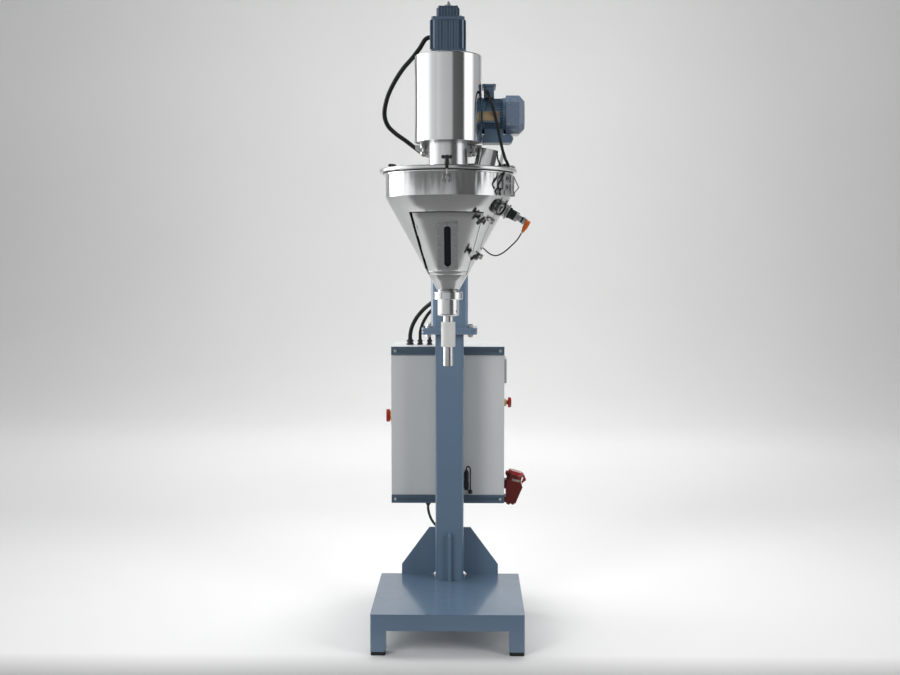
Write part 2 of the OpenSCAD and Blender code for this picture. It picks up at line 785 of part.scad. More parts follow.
module isolator_handle() {
    color("#b3261e") place() translate(isolator_pos) rotate([0, -90, 0]) {
        translate([0, 0, -28]) cylinder(r = 5, h = 28 + isolator_t);
        translate([0, 0, isolator_t]) {
            cylinder(r = 17, h = 2.5);
            translate([0, 0, 2]) rotate([0, 0, 90]) linear_extrude(7) difference() {
                slot_2d(15, isolator_handle_l);
                translate([0, 13]) circle(2.2);
            }
        }
    }
}

// Frame of the tilted socket: z along the plug's way in
module at_socket() {
    translate([socket_mouth[0], socket_y, socket_mouth[1]]) rotate([0, socket_tilt, 0]) children();
}

module socket_body() {
    pin_ring = 14;
    bore_l = 36;
    color("#a3221c") place() {
        difference() {
            union() {
                translate([0, socket_y + socket_w / 2, 0]) rotate([90, 0, 0]) linear_extrude(socket_w)
                    polygon([[socket_back, 376], [242, 376], [268, 437], [262, 452],
                        [socket_back + 4, 466], [socket_back, 440]]);
                at_socket() translate([0, 0, -52]) cylinder(r = socket_r, h = 52);
                at_socket() translate([0, 0, -30]) cylinder(r = socket_r + 2, h = 6);
            }
            at_socket() translate([0, 0, -bore_l]) cylinder(r = socket_bore_r, h = bore_l + 10);
        }
        // Five contact pins
        at_socket() for (k = [0 : 4]) rotate([0, 0, 72 * k + 18]) translate([pin_ring, 0, -bore_l - 1])
            cylinder(r = k == 0 ? 3 : 2.5, h = 20);
        // Ears of the lid's hinge
        at_socket() for (s = [-1, 1]) translate([socket_hinge[0], s * 11 + 2.5, socket_hinge[1]])
            rotate([90, 0, 0]) linear_extrude(5) {
                circle(4);
                polygon([[-4, 0], [3.2, 0], [3.2, -4], [10, -5], [10, -19], [-4, -8]]);
            }
        at_socket() translate([socket_hinge[0], 13.5, socket_hinge[1]]) rotate([90, 0, 0])
            cylinder(r = 2, h = 27);
        // Spacer brackets and back strip against the cabinet
        translate([cab_right, socket_y - 22, 430]) cube([socket_back - cab_right + 1, 44, 32]);
        translate([cab_right, socket_y - 30, 380]) cube([socket_back - cab_right + 1, 60, 20]);
        for (x = [socket_back + 10, socket_back + 26]) translate([x, socket_y, 366])
            cylinder(r1 = 5, r2 = 7, h = 11);
    }
}

module socket_lid() {
    r = socket_lid_r;
    thumb = [[r - 1.5, 3], [r + 3, 3], [r + 14, -12], [r + 3, -29], [r, -25], [r + 1.5, -socket_skirt],
        [r - 1.5, -socket_skirt]];
    color("#b32720") place() at_socket() {
        difference() {
            union() {
                translate([0, 0, -socket_skirt]) cylinder(r = r, h = socket_skirt + socket_lid_t - 3);
                translate([0, 0, socket_lid_t - 3]) cylinder(r1 = r, r2 = r - 3, h = 3);
            }
            translate([0, 0, -socket_skirt - 1]) cylinder(r = socket_r + 1, h = socket_skirt + 5);
        }
        translate([0, 9, 0]) rotate([90, 0, 0]) linear_extrude(18) polygon(thumb);
        difference() {
            translate([socket_hinge[0], 8, socket_hinge[1]]) rotate([90, 0, 0]) {
                cylinder(r = 4.5, h = 16);
                cube([5, 5, 16]);
            }
            translate([socket_hinge[0], 9, socket_hinge[1]]) rotate([90, 0, 0])
                cylinder(r = 2 + run_gap, h = 18);
        }
    }
}

module drive_casing() {
    r = casing_d / 2;
    edge = 5;
    tail = 121;
    color("#d5d7d8") place() difference() {
        translate([0, 0, head_z]) rotate_extrude()
            polygon(concat([[r - casing_wall, 0], [r, 0]],
                [for (a = [0 : 15 : 90])
                    [r - edge + edge * cos(a), casing_h - edge + edge * sin(a)]],
                [[servo_w / 2 - 22, casing_h], [servo_w / 2 - 22, casing_h - casing_wall],
                 [r - casing_wall, casing_h - casing_wall]]));
        translate([-tail / 2, 20, head_z - 1]) cube([tail, r, head_t + 1 + run_gap]);
        translate([20, gear_y, gear_z]) rotate([0, 90, 0]) cylinder(r = 46, h = r);
    }
}

// Cross-section of the servo motor's body: square with lobed corners and grooved faces
module servo_section(w, lobe, depth) {
    difference() {
        rrect(w, w, 12);
        for (a = [0 : 90 : 270]) rotate(a) {
            translate([w / 2, 0]) rrect(2 * depth, w - 2 * lobe, 2);
            for (s = [-1, 1]) translate([w / 2, s * (w / 2 - lobe * 0.55)]) circle(1.6);
            for (s = [-2 : 2]) translate([w / 2 - depth, s * 9]) square([3, 2.4], center = true);
        }
    }
}

module servo_motor() {
    z0 = casing_top;
    body_z = z0 + servo_flange_t;
    color("#3d566b") place() {
        translate([0, 0, z0]) rpost(servo_w, servo_w, 12, servo_flange_t);
        translate([0, 0, body_z]) linear_extrude(servo_h - servo_flange_t - 10)
            servo_section(servo_w, servo_lobe, 5);
        translate([0, 0, z0 + servo_h - 10]) rpost(servo_w - 4, servo_w - 4, 12, 10);
        translate([0, 0, z0 - casing_wall - 26]) cylinder(r = 33, h = 26 + casing_wall);
        for (sx = [-1, 1], sy = [-1, 1])
            translate([sx * (servo_w / 2 - 9), sy * (servo_w / 2 - 9), body_z])
                hex_bolt(7, 4);
        // Cable outlet on the left
        translate([-servo_w / 2 + 2, 30, servo_cable_pts[0][2]]) rotate([0, -90, 0])
            cylinder(r1 = 11, r2 = 9, h = 2);
    }
}

module servo_cap() {
    z0 = casing_top + servo_h;
    tip_h = 21;
    color("#34495b") place() {
        translate([0, 0, z0]) rpost(cap_w, cap_w, 10, cap_h - 6);
        translate([0, 0, z0 + cap_h - 6]) rpost(cap_w - 6, cap_w - 6, 8, 6);
        for (s = [-1, 1]) translate([s * (cap_w / 2 - 8), -cap_w / 2 + 8, z0 + cap_h - 2])
            cylinder(r = 3, h = 3.5);
        translate([0, 0, z0 + cap_h]) rotate_extrude()
            polygon([[0, 0], [18, 0], [17, 4], [9, 9], [6, 15], [4, 19], [1.5, tip_h], [0, tip_h]]);
    }
}

module gearbox() {
    lo = gearbox_half[0];
    hi = gearbox_half[1];
    color("#4a5a66") place() difference() {
        union() {
            translate([(lo[0] + hi[0]) / 2, (lo[1] + hi[1]) / 2, gearbox_z[0]])
                rpost(hi[0] - lo[0], hi[1] - lo[1], 14, gearbox_z[1] - gearbox_z[0]);
            translate([0, 0, head_z + head_t]) cylinder(r = 48, h = gearbox_z[0] - head_z - head_t);
            translate([0, 0, gearbox_z[1]]) cylinder(r = 42, h = 8);
            translate([hi[0], gear_y, gear_z]) rotate([0, 90, 0])
                cylinder(r = 44, h = motor_x - hi[0]);
        }
        translate([0, 0, head_z]) cylinder(r = agitator_shaft_r + run_gap, h = 200);
    }
}

// Finned motor body with its nameplate pad and the cradle below
module gear_motor() {
    fins = 40;
    fin_h = 4;
    pad = [[motor_x, -9, 1724], [motor_l - 20, 20, 42]];
    color("#3f586e") place() {
        difference() {
            translate([motor_x, gear_y, gear_z]) rotate([90, 0, 90]) {
                linear_extrude(motor_l) {
                    circle(motor_r - fin_h);
                    for (k = [0 : fins - 1]) rotate(360 * k / fins)
                        translate([motor_r / 2, 0]) square([motor_r, 2.6], center = true);
                }
                cylinder(r = motor_r + 2, h = 9);
                translate([0, 0, motor_l - 10]) cylinder(r = motor_r + 2, h = 10);
                translate([0, 0, motor_l]) cylinder(r = cowl_w / 2 - cowl_wall - run_gap, h = 5);
                translate([0, 0, motor_l]) cylinder(r = 9, h = 6);
            }
            // Flat seat of the terminal box
            translate([box_x[0] - 1, box_y[0] - 1, box_z[0]])
                cube([box_x[1] - box_x[0] + 2, box_y[1] - box_y[0] + 2, 20]);
        }
        translate(pad[0]) cube(pad[1]);
        translate([motor_x + 8, gear_y - 36, 1680]) cube([62, 72, 26]);
        // Cradle with a round end
        translate([motor_x + 1, gear_y + 42, 1661]) rotate([90, 0, 0]) linear_extrude(84) {
            square([88, 26]);
            translate([88, 13]) circle(13);
        }
    }
}

module terminal_box() {
    w = box_x[1] - box_x[0];
    d = box_y[1] - box_y[0];
    gland_z = motor_cable_pts[0][2];
    color("#46607a") place() {
        translate([(box_x[0] + box_x[1]) / 2, (box_y[0] + box_y[1]) / 2, box_z[0]]) {
            rpost(w, d, 6, box_z[1] - box_z[0]);
            translate([0, 0, box_z[1] - box_z[0]]) rpost(w + 12, d + 10, 8, 7);
            for (sx = [-1, 1], sy = [-1, 1])
                translate([sx * (w / 2 - 1), sy * (d / 2 - 2), box_z[1] - box_z[0] + 7])
                    dome_screw(3.5, 2);
        }
        translate([motor_cable_pts[0][0], box_y[0], gland_z]) rotate([90, 0, 0])
            gland(15, 14, motor_cable_r);
    }
}

// Octagonal fan cowl with a chamfered end and round vents
module cowl_form(w, l, chamfer) {
    c = w * 0.19;
    h = w / 2;
    e = h - chamfer;
    ce = c * 0.75;
    hull() {
        linear_extrude(l - chamfer)
            polygon([[h, h - c], [h - c, h], [c - h, h], [-h, h - c], [-h, c - h], [c - h, -h],
                [h - c, -h], [h, c - h]]);
        translate([0, 0, l - 0.1]) linear_extrude(0.1)
            polygon([[e, e - ce], [e - ce, e], [ce - e, e], [-e, e - ce], [-e, ce - e], [ce - e, -e],
                [e - ce, -e], [e, ce - e]]);
    }
}

module fan_cowl() {
    rows = 4;
    color("#5d7488") place() translate([cowl_x, gear_y, gear_z]) rotate([0, 90, 0]) {
        difference() {
            cowl_form(cowl_w, cowl_l, 18);
            translate([0, 0, -0.01])
                cowl_form(cowl_w - 2 * cowl_wall, cowl_l - cowl_wall, 18 - cowl_wall / 2);
            for (r = [1 : rows], k = [0 : 6 * r - 1]) rotate([0, 0, 60 * k / r])
                translate([r * 9.5, 0, cowl_l - 5]) cylinder(r = 3.2, h = 10);
        }
        for (a = [45, 135, 225, 315]) rotate([0, 0, a])
            translate([cowl_w / 2 * 1.147 - 4, 0, 12]) rotate([0, 90, 0]) cylinder(r = 4, h = 5.5);
    }
}

module motor_fan() {
    blades = 8;
    color("#2b2d30") place() translate([cowl_x + 16, gear_y, gear_z]) rotate([0, 90, 0]) {
        difference() {
            union() {
                cylinder(r = 14, h = 20);
                cylinder(r = fan_r - 4, h = 2.5);
                for (k = [0 : blades - 1]) rotate([0, 0, 360 * k / blades])
                    translate([12, -1.2, 0]) cube([fan_r - 12, 2.4, 18]);
            }
            translate([0, 0, -1]) cylinder(r = 7, h = 15);
        }
        translate([0, 0, -9.5]) cylinder(r = 6.9, h = 24);
    }
}

module hopper_lid() {
    r = lid_d / 2;
    step = hopper_r - 8;
    seat_h = lid_t - lid_skin;
    color("#cfd2d3") place() difference() {
        union() {
            translate([0, 0, lid_z]) rotate_extrude()
                polygon([[shaft_hole_r, seat_h], [step, seat_h], [step, 0], [r - 2, 0], [r, 3],
                    [r, lid_t - 4], [r - 1.5, lid_t - 1], [r - 4, lid_t], [shaft_hole_r, lid_t]]);
            ring(neck_d / 2, neck_d / 2 - 3, lid_top, head_z);
            ring(neck_d / 2 + 5, neck_d / 2 - 3, lid_top, lid_top + 4);
        }
        for (az = clamp_az) at_clamp(az) translate([-clamp_slot_w / 2, -20, lid_z - 1])
            cube([clamp_slot_w, 20 + clamp_slot_w / 2 + 1, lid_t + 2]);
        translate([inlet_pos[0], inlet_pos[1], lid_z - 1]) cylinder(r = inlet_d / 2 - 4, h = lid_t + 2);
    }
}

module inlet_pipe() {
    color("#cfd2d3") place() difference() {
        translate([inlet_pos[0], inlet_pos[1], lid_top]) rotate([0, inlet_lean, 0]) difference() {
            translate([0, 0, -25]) cylinder(r = inlet_d / 2, h = inlet_l + 25);
            translate([0, 0, -26]) cylinder(r = inlet_d / 2 - inlet_wall, h = inlet_l + 30);
        }
        translate([0, -100, lid_top - 60]) cube([300, 250, 60]);
    }
}

// Full cone between two heights, smaller than the hopper's by an inset
module cone_solid(z0, z1, inset) {
    translate([0, 0, z0])
        cylinder(r1 = cone_r(z0) - inset, r2 = cone_r(z1) - inset, h = z1 - z0);
}

// Conical band between two depths behind the hopper's outer face
module cone_band(z0, z1, d0, d1) {
    rotate_extrude()
        polygon([[cone_r(z0) - d0, z0], [cone_r(z1) - d0, z1], [cone_r(z1) - d1, z1],
            [cone_r(z0) - d1, z0]]);
}

// Prism in the hatch's outline, its front half only, grown by a margin on each side
module hatch_prism(left, right, top, bottom) {
    z1 = hatch_top + top;
    z0 = hatch_bottom - bottom;
    rotate([90, 0, 0]) linear_extrude(hopper_r + 20)
        polygon([[-hatch_half(z0) - left, z0], [hatch_half(z0) + right, z0],
            [hatch_half(z1) + right, z1], [-hatch_half(z1) - left, z1]]);
}

// Places of the sight frame's screws, two rows along the sides and one at each end
sight_screws = concat(
    [for (x = [-1, 1], k = [0 : sight_rows - 1]) [x * (sight_w / 2 - sight_screw_inset),
        (k / (sight_rows - 1) - 0.5) * (sight_l - 2 * sight_screw_inset)]],
    [for (y = [-1, 1]) [0, y * (sight_l / 2 - sight_screw_inset + 2)]]);

function skin_depth() = hopper_wall / cos(cone_ang);

module gaskets() {
    lap = 7;
    depth = skin_depth() + run_gap;
    thick = 4;
    color("#161616") place() {
        ring(hopper_r + hopper_rim_w - 1, hopper_r - hopper_wall + 1, hopper_rim_z,
            hopper_rim_z + gasket_t);
        difference() {
            intersection() {
                cone_band(hatch_bottom - lap - 2, hatch_top + lap, depth, depth + thick);
                hatch_prism(hinge_gap + lap, hatch_gap + lap, lap, lap);
            }
            hatch_prism(-lap, -lap, -lap, -lap);
            // Relief along the hinge
            along_hinge() translate([-hinge_leaf - 1, -10, -lap - 20])
                cube([2 * hinge_leaf + 2, 10 + knuckle_r + hinge_relief, hinge_len + 2 * lap + 40]);
        }
    }
}

module hopper_shell() {
    r = hopper_r;
    t = hopper_wall;
    color("#c8cbcc") place() {
        difference() {
            rotate_extrude() polygon([[r - t, hopper_rim_z], [r - t, cone_top],
                [spout_bore, cone_inner_z()], [spout_bore, spout_end], [spout_r, spout_end],
                [spout_r, spout_top], [r, cone_top], [r, hopper_rim_z - hopper_rim_t],
                [r + hopper_rim_w, hopper_rim_z - hopper_rim_t], [r + hopper_rim_w, hopper_rim_z]]);
            hatch_prism(hinge_gap, hatch_gap, hatch_top_gap, hatch_low_gap);
            on_cone(90, sensor_z) translate([0, 0, -12]) cylinder(r = 11.5, h = 30);
        }
        hinge_barrels([0, 2, 4], -1);
        along_hinge() cylinder(r = hinge_pin, h = hinge_len - run_gap);
    }
}

function cone_inner_z() = cone_top - (hopper_r - hopper_wall - spout_bore) / cone_k;

// Clevis for a lid clamp: two ears and the pin between them
module lid_clevis() {
    ear_in = eye_t / 2 + run_gap;
    reach = clamp_r - hopper_r;
    for (s = [-1, 1]) translate([s * (ear_in + lug_t / 2) - lug_t / 2, 0, clamp_pivot_z])
        rotate([90, 0, 90]) linear_extrude(lug_t) {
            circle(8);
            translate([0, -8]) square([reach, 16]);
            polygon([[0, -8], [reach, -8], [reach, -17]]);
        }
    translate([-ear_in - lug_t - 1, 0, clamp_pivot_z]) rotate([0, 90, 0])
        cylinder(r = clamp_pin_r, h = 2 * (ear_in + lug_t + 1));
}

// Direction of a hatch clamp's pivot, on the shell beside the seam, as an angle from the front
function clamp_az_at(z) =
    asin(hatch_half(z) / cone_r(z)) + hatch_clamp_arc / cone_r(z) * 180 / PI;

// Clevis on the shell that a hatch clamp's bolt swings in
module hatch_clevis() {
    ear_in = eye_t / 2 + run_gap;
    ear_t = 3;
    ear_w = 12;
    for (s = [-1, 1]) translate([0, s * (ear_in + ear_t / 2) + ear_t / 2, 0]) rotate([90, 0, 0])
        linear_extrude(ear_t) {
            translate([0, hatch_pivot_h]) circle(d = ear_w);
            translate([-ear_w / 2, -4]) square([ear_w + 4, hatch_pivot_h + 2]);
        }
    translate([0, ear_in + ear_t + 1, hatch_pivot_h]) rotate([90, 0, 0])
        cylinder(r = hatch_pin_r, h = 2 * (ear_in + ear_t + 1));
}

module clamp_lugs() {
    color("#b9bcbe") place() {
        for (az = clamp_az) at_clamp(az) lid_clevis();
        for (z = hatch_clamp_z) difference() {
            on_cone(clamp_az_at(z), z) hatch_clevis();
            cone_solid(z - 60, z + 60, 0);
        }
        tie_down();
    }
}

// Tie-down on the hopper's right: pad, ears and bent wire bow
module tie_down() {
    pad_z = [1484, 1548];
    difference() {
        translate([hopper_r - 4, -14, pad_z[0]]) cube([11, 28, pad_z[1] - pad_z[0]]);
        translate([0, 0, cone_top - 5]) cylinder(r = hopper_r + fit_gap, h = lid_z - cone_top);
    }
    wire = 3.6;
    bow = [[hopper_r + 10, 1549], [hopper_r + 26, 1514], [hopper_r + 9, 1492]];
    for (s = [-1, 1]) translate([hopper_r + 6.5, s * 8 - 2, pad_z[0] + 1]) cube([7, 4, 15]);
    translate([bow[2][0], -11, bow[2][1]]) rotate([-90, 0, 0]) cylinder(r = wire / 2, h = 22);
    translate([0, wire / 2, 0]) rotate([90, 0, 0]) linear_extrude(wire) for (k = [0 : 2]) {
        d = bow[(k + 1) % 3] - bow[k];
        translate(bow[k]) {
            circle(wire * 0.6);
            rotate(atan2(d[1], d[0])) translate([0, -wire / 2]) square([norm(d), wire]);
        }
    }
}

// Slotted ear on the hatch that a clamp's knob presses on
module hatch_ear() {
    ear_w = 22;
    slot_w = 2 * stud_r + 1.4;
    translate([-hatch_seat, 0, 0]) rotate([90, 0, 90]) linear_extrude(hatch_ear_t) difference() {
        translate([-ear_w / 2, -20]) square([ear_w, hatch_pivot_h + 27]);
        translate([-slot_w / 2, hatch_pivot_h - slot_w / 2]) square([slot_w, 20]);
    }
}

// Frame on the hatch's hinge: z along the pin from its lower end, x towards the hatch, y inwards
module along_hinge() {
    t = [cos(hinge_az), sin(hinge_az), 0];
    x = unit(t - (t * hinge_dir) * hinge_dir);
    y = cross(hinge_dir, x);
    multmatrix([[x[0], y[0], hinge_dir[0], hinge_low[0]], [x[1], y[1], hinge_dir[1], hinge_low[1]],
        [x[2], y[2], hinge_dir[2], hinge_low[2]], [0, 0, 0, 1]]) children();
}

// Every second fifth of the hatch's hinge, its leaf to one side
module hinge_barrels(fifths, side) {
    l = hinge_len / 5 - run_gap;
    along_hinge() for (k = fifths) translate([0, 0, hinge_len * k / 5]) {
        cylinder(r = knuckle_r, h = l);
        translate([side > 0 ? 0 : -hinge_leaf, -0.5, 0]) cube([hinge_leaf, 2, l]);
    }
}

module hatch() {
    w = skin_depth();
    color("#c4c7c8") place() {
        difference() {
            intersection() {
                cone_band(hatch_bottom, hatch_top, 0, w);
                hatch_prism(0, 0, 0, 0);
            }
            on_cone(0, sight_mid) translate([0, 0, -20]) linear_extrude(40)
                slot_2d(sight_slot_w + 6, sight_slot_l + 6);
        }
        for (z = hatch_clamp_z) difference() {
            on_cone(clamp_az_at(z), z) hatch_ear();
            cone_solid(z - 60, z + 60, 1.5);
        }
        difference() {
            hinge_barrels([1, 3], 1);
            along_hinge() translate([0, 0, -1]) cylinder(r = hinge_pin + fit_gap, h = hinge_len + 2);
        }
    }
}

module sight_frame() {
    color("#cdd0d1") place() difference() {
        on_cone(0, sight_mid) difference() {
            translate([0, 0, -12]) rpost(sight_w, sight_l, 4, 12 + sight_t);
            translate([0, 0, -13]) linear_extrude(30) slot_2d(sight_slot_w, sight_slot_l);
            translate([0, 0, -13]) linear_extrude(13 + sight_t - 3)
                slot_2d(sight_slot_w + 5, sight_slot_l + 5);
            // Pilot holes of the screws
            for (p = sight_screws) translate([p[0], p[1], sight_t - 4])
                cylinder(r = sight_screw_r, h = 5);
        }
        cone_solid(hatch_bottom - 40, hatch_top + 20, 0);
    }
}

module sight_glass() {
    color("#20242a") place() on_cone(0, sight_mid) translate([0, 0, sight_t - 7])
        linear_extrude(4) slot_2d(sight_slot_w + 4.6, sight_slot_l + 4.6);
}

// Eye and stud of a lid clamp, in its clamp's frame
module lid_bolt(az) {
    color("#bcbfc1") place() at_clamp(az) difference() {
        union() {
            translate([-eye_t / 2, 0, clamp_pivot_z]) rotate([0, 90, 0]) cylinder(r = eye_r, h = eye_t);
            translate([0, 0, clamp_pivot_z]) cylinder(r = stud_r, h = knob_top - 6 - clamp_pivot_z);
        }
        translate([-eye_t, 0, clamp_pivot_z]) rotate([0, 90, 0])
            cylinder(r = clamp_pin_r + run_gap, h = 2 * eye_t);
    }
}

// Wing knob: seat at the origin, stem below it when it has one
module wing_knob(stem, height) {
    wing_t = 9;
    wing_h = 14;
    difference() {
        union() {
            translate([0, 0, -stem]) cylinder(r = knob_stem_r, h = stem + 1);
            cylinder(r1 = 8.5, r2 = 6.5, h = height - wing_h + 2);
            translate([0, 0, height - wing_h]) cylinder(r = 6.5, h = wing_h);
            translate([0, wing_t / 2, height - wing_h]) rotate([90, 0, 0]) linear_extrude(wing_t)
                for (s = [-1, 1]) {
                    translate([s * (knob_span / 2 - 5), wing_h - 5.5]) circle(5.5);
                    translate([s > 0 ? 0 : -knob_span / 2 + 5, wing_h - 11])
                        square([knob_span / 2 - 5, 9.5]);
                }
        }
        translate([0, 0, -stem - 1]) cylinder(r = knob_bore_r, h = stem + height - 3);
    }
}

module lid_knob(az) {
    color("#141415") place() at_clamp(az) translate([0, 0, lid_top + run_gap])
        wing_knob(lid_t + 1, knob_top - lid_top);
}

module lid_bolt_front() { lid_bolt(clamp_az[0]); }
module lid_bolt_right() { lid_bolt(clamp_az[1]); }
module lid_bolt_left() { lid_bolt(clamp_az[2]); }
module lid_knob_front() { lid_knob(clamp_az[0]); }
module lid_knob_right() { lid_knob(clamp_az[1]); }
module lid_knob_left() { lid_knob(clamp_az[2]); }

module hatch_bolt(z) {
    color("#bcbfc1") place() on_cone(clamp_az_at(z), z) translate([0, 0, hatch_pivot_h]) difference() {
        union() {
            rotate([90, 0, 0]) translate([0, 0, -eye_t / 2]) cylinder(r = 6, h = eye_t);
            rotate([0, -90, 0]) cylinder(r = stud_r, h = hatch_seat + hatch_knob_h - 6);
        }
        rotate([90, 0, 0]) translate([0, 0, -eye_t]) cylinder(r = hatch_pin_r + run_gap, h = 2 * eye_t);
    }
}

module hatch_knob(z) {
    color("#141415") place() on_cone(clamp_az_at(z), z)
        translate([-hatch_seat - run_gap, 0, hatch_pivot_h]) rotate([0, -90, 0]) rotate([0, 0, 60])
            wing_knob(0, hatch_knob_h);
}

module hatch_bolt_upper() { hatch_bolt(hatch_clamp_z[0]); }
module hatch_bolt_lower() { hatch_bolt(hatch_clamp_z[1]); }
module hatch_knob_upper() { hatch_knob(hatch_clamp_z[0]); }
module hatch_knob_lower() { hatch_knob(hatch_clamp_z[1]); }

// Slotted round nut that draws the adapter's collar to the spout
module union_nut() {
    slots = 8;
    collar_r = adapter_d / 2 + 3;
    color("#bfc2c4") place() difference() {
        translate([0, 0, nut_z]) rotate_extrude() polygon([[adapter_d / 2 + run_gap, 0],
            [nut_d / 2 - 2, 0], [nut_d / 2, 2], [nut_d / 2, nut_h - 2], [nut_d / 2 - 2, nut_h],
            [spout_r + run_gap, nut_h], [spout_r + run_gap, spout_end - nut_z],
            [collar_r + run_gap, spout_end - nut_z], [collar_r + run_gap, 4],
            [adapter_d / 2 + run_gap, 4]]);
        for (k = [0 : slots - 1]) rotate([0, 0, 360 * k / slots + 22.5])
            translate([nut_d / 2 - 4, -5, nut_z + 5]) cube([8, 10, nut_h - 10]);
    }
}

module tube_adapter() {
    r = adapter_d / 2;
    edge = 7;
    bore_top = adapter_z + 26;
    collar_z = nut_z + 4 + run_gap;
    screw_az = 49;
    color("#b5b8ba") place() {
        difference() {
            rotate_extrude() polygon(concat([[tube_seat_r + fit_gap, adapter_z]],
                [for (a = [-90 : 15 : 0]) [r - edge + edge * cos(a), adapter_z + edge + edge * sin(a)]],
                [[r, collar_z], [r + 3, collar_z], [r + 3, spout_end], [spout_bore, spout_end],
                 [tube_d / 2 - tube_wall, bore_top], [tube_seat_r + fit_gap, bore_top]]));
            rotate([0, 0, screw_az]) translate([0, -r - 1, adapter_z + 17]) rotate([-90, 0, 0])
                cylinder(r = 3, h = r - tube_d / 2 + 1);
        }
        rotate([0, 0, screw_az]) translate([0, -r + 2, adapter_z + 17]) rotate([-90, 0, 0])
            cylinder(r = 2.95, h = r - tube_d / 2 - 2.3);
    }
}

module auger_tube() {
    r = tube_d / 2;
    z1 = adapter_z + 26 - fit_gap;
    grip_z = tube_end_z + tube_grip_l;
    color("#c2c5c7") place() rotate_extrude()
        polygon([[r - tube_wall, tube_end_z], [r, tube_end_z], [r, grip_z], [tube_seat_r, grip_z],
            [tube_seat_r, z1], [r - tube_wall, z1]]);
}

module tube_sleeve() {
    bore_r = tube_seat_r + fit_gap;
    r = sleeve_d / 2;
    bevel = 1.5;
    color("#e8e8e6") place() translate([0, 0, tube_end_z + tube_grip_l + 1]) rotate_extrude()
        polygon([[bore_r, 0], [r - bevel, 0], [r, bevel], [r, sleeve_l - bevel], [r - bevel, sleeve_l],
            [bore_r, sleeve_l]]);
}

// Screw flight as rings of four points each, wound round the core
module auger() {
    core_r = 5;
    flight_r = tube_d / 2 - tube_wall - auger_gap;
    flight_t = 2.4;
    z0 = tube_end_z + 4;
    turns = (1216 - z0) / auger_pitch;
    steps = 14;
    color("#b0b3b6") place() {
        skin([for (i = [0 : floor(turns * steps)])
            let (a = 360 * i / steps, z = z0 + auger_pitch * i / steps)
            [for (p = [[core_r - 1, 0], [core_r - 1, flight_t], [flight_r, flight_t], [flight_r, 0]])
                [p[0] * cos(a), p[0] * sin(a), z + p[1]]]]);
        translate([0, 0, z0 - 2]) cylinder(r = core_r, h = 1230 - z0);
        translate([0, 0, 1226]) cylinder(r1 = core_r, r2 = auger_shaft_r, h = 14);
        translate([0, 0, 1240]) cylinder(r = auger_shaft_r, h = casing_top - 76 - 1240);
        // Coupling to the servo's shaft
        translate([0, 0, casing_top - 96]) cylinder(r = 24, h = 66);
    }
}

// Hollow shaft with two scraper arms that follow the cone
module agitator() {
    wall_gap = 16;
    z_hi = 1452;
    z_lo = 1212;
    arm_t = 6;
    arm_w = 22;
    inner = skin_depth() + wall_gap;
    color("#b7babc") place() {
        ring(agitator_shaft_r, auger_shaft_r + 0.5, 1300, gearbox_z[1] + 6);
        for (m = [0, 180]) rotate([0, 0, m + 20]) translate([0, arm_t / 2, 0]) rotate([90, 0, 0])
            linear_extrude(arm_t) {
                polygon([[cone_r(z_lo) - inner, z_lo], [cone_r(z_hi) - inner, z_hi],
                    [cone_r(z_hi) - inner - arm_w, z_hi], [cone_r(z_lo) - inner - 8, z_lo + 24]]);
                translate([agitator_shaft_r - 3, z_hi - 26])
                    square([cone_r(z_hi) - inner - arm_w - agitator_shaft_r + 6, 16]);
                translate([agitator_shaft_r - 3, 1330])
                    square([cone_r(1330) - inner - agitator_shaft_r - 4, 14]);
            }
    }
}

module level_sensor() {
    color("#1d1e20") place() on_cone(90, sensor_z) {
        translate([0, 0, -9]) cylinder(r = 11, h = 10);
        ring(22, 11, 0.6, 8);
        translate([0, 0, 8]) hex(32, 6);
        translate([0, 0, 1]) cylinder(r = 11, h = 13);
        translate([0, 0, 14]) cylinder(r = 16.5, h = 38);
        translate([0, 0, 52]) cylinder(r = 10.5, h = 18);
        translate([0, 0, 70]) cylinder(r = 13, h = 5);
        translate([0, 0, 75]) hex(20, 5);
    }
}

// Elbow plug of the level sensor
module sensor_plug() {
    color("#d9601e") place() on_cone(90, sensor_z) difference() {
        union() {
            translate([0, 0, 80]) cylinder(r = 10, h = 6);
            translate([0, 0, 80]) cylinder(r = 8.5, h = 16);
            translate([0, 0, 88]) rotate([90, 0, 0]) {
                cylinder(r = 8.5, h = 18);
                translate([0, 0, 18]) cylinder(r1 = 8, r2 = 3.4, h = 18);
            }
            translate([0, 0, 88]) sphere(8.5);
        }
        // Flat face towards the sensor
        translate([0, 0, 70]) cylinder(r = 12, h = 10);
    }
}

module servo_cable() {
    color("#111112") place()
        cord(servo_cable_pts, servo_cable_r, 10, [0.3, -1, 0], [-1, 0, 0], [1, 0, 0]);
}

module motor_cable() {
    color("#111112") place()
        cord(motor_cable_pts, motor_cable_r, 10, [1, 0.1, 0.3], [0, -1, 0], [-1, 1, 0]);
}

module sensor_cable() {
    color("#111112") place()
        cord(sensor_cable_pts, sensor_cable_r, 8, [0.2, 0.3, 1], [-0.488, 0, -0.873], [0, 1, 0]);
}

module trunk_cable_a() {
    color("#111112") place() cord(trunk_a_pts, trunk_r, 10, [1, 1, 0], [0, 1, 0], [0, 0, -1]);
}

module trunk_cable_b() {
    color("#111112") place() cord(trunk_b_pts, trunk_r, 10, [1, 1, 0], [0, 1, 0], [0, 0, -1]);
}

module trunk_cable_c() {
    color("#111112") place() cord(trunk_c_pts, trunk_r, 10, [1, 1, 0], [0, 1, 0], [0, 0, -1]);
}

module lower_cable() {
    color("#111112") place()
        cord(lower_cable_pts, lower_cable_r, 10, [1, 1, 0.2], [0, 0, -1], [0, -1, 0]);
}

module panel_lead() {
    color("#111112") place() cord(lead_pts, lead_r, 8, [1, 0.9, 0], [0, 0, 1], [0, 1, 0]);
}

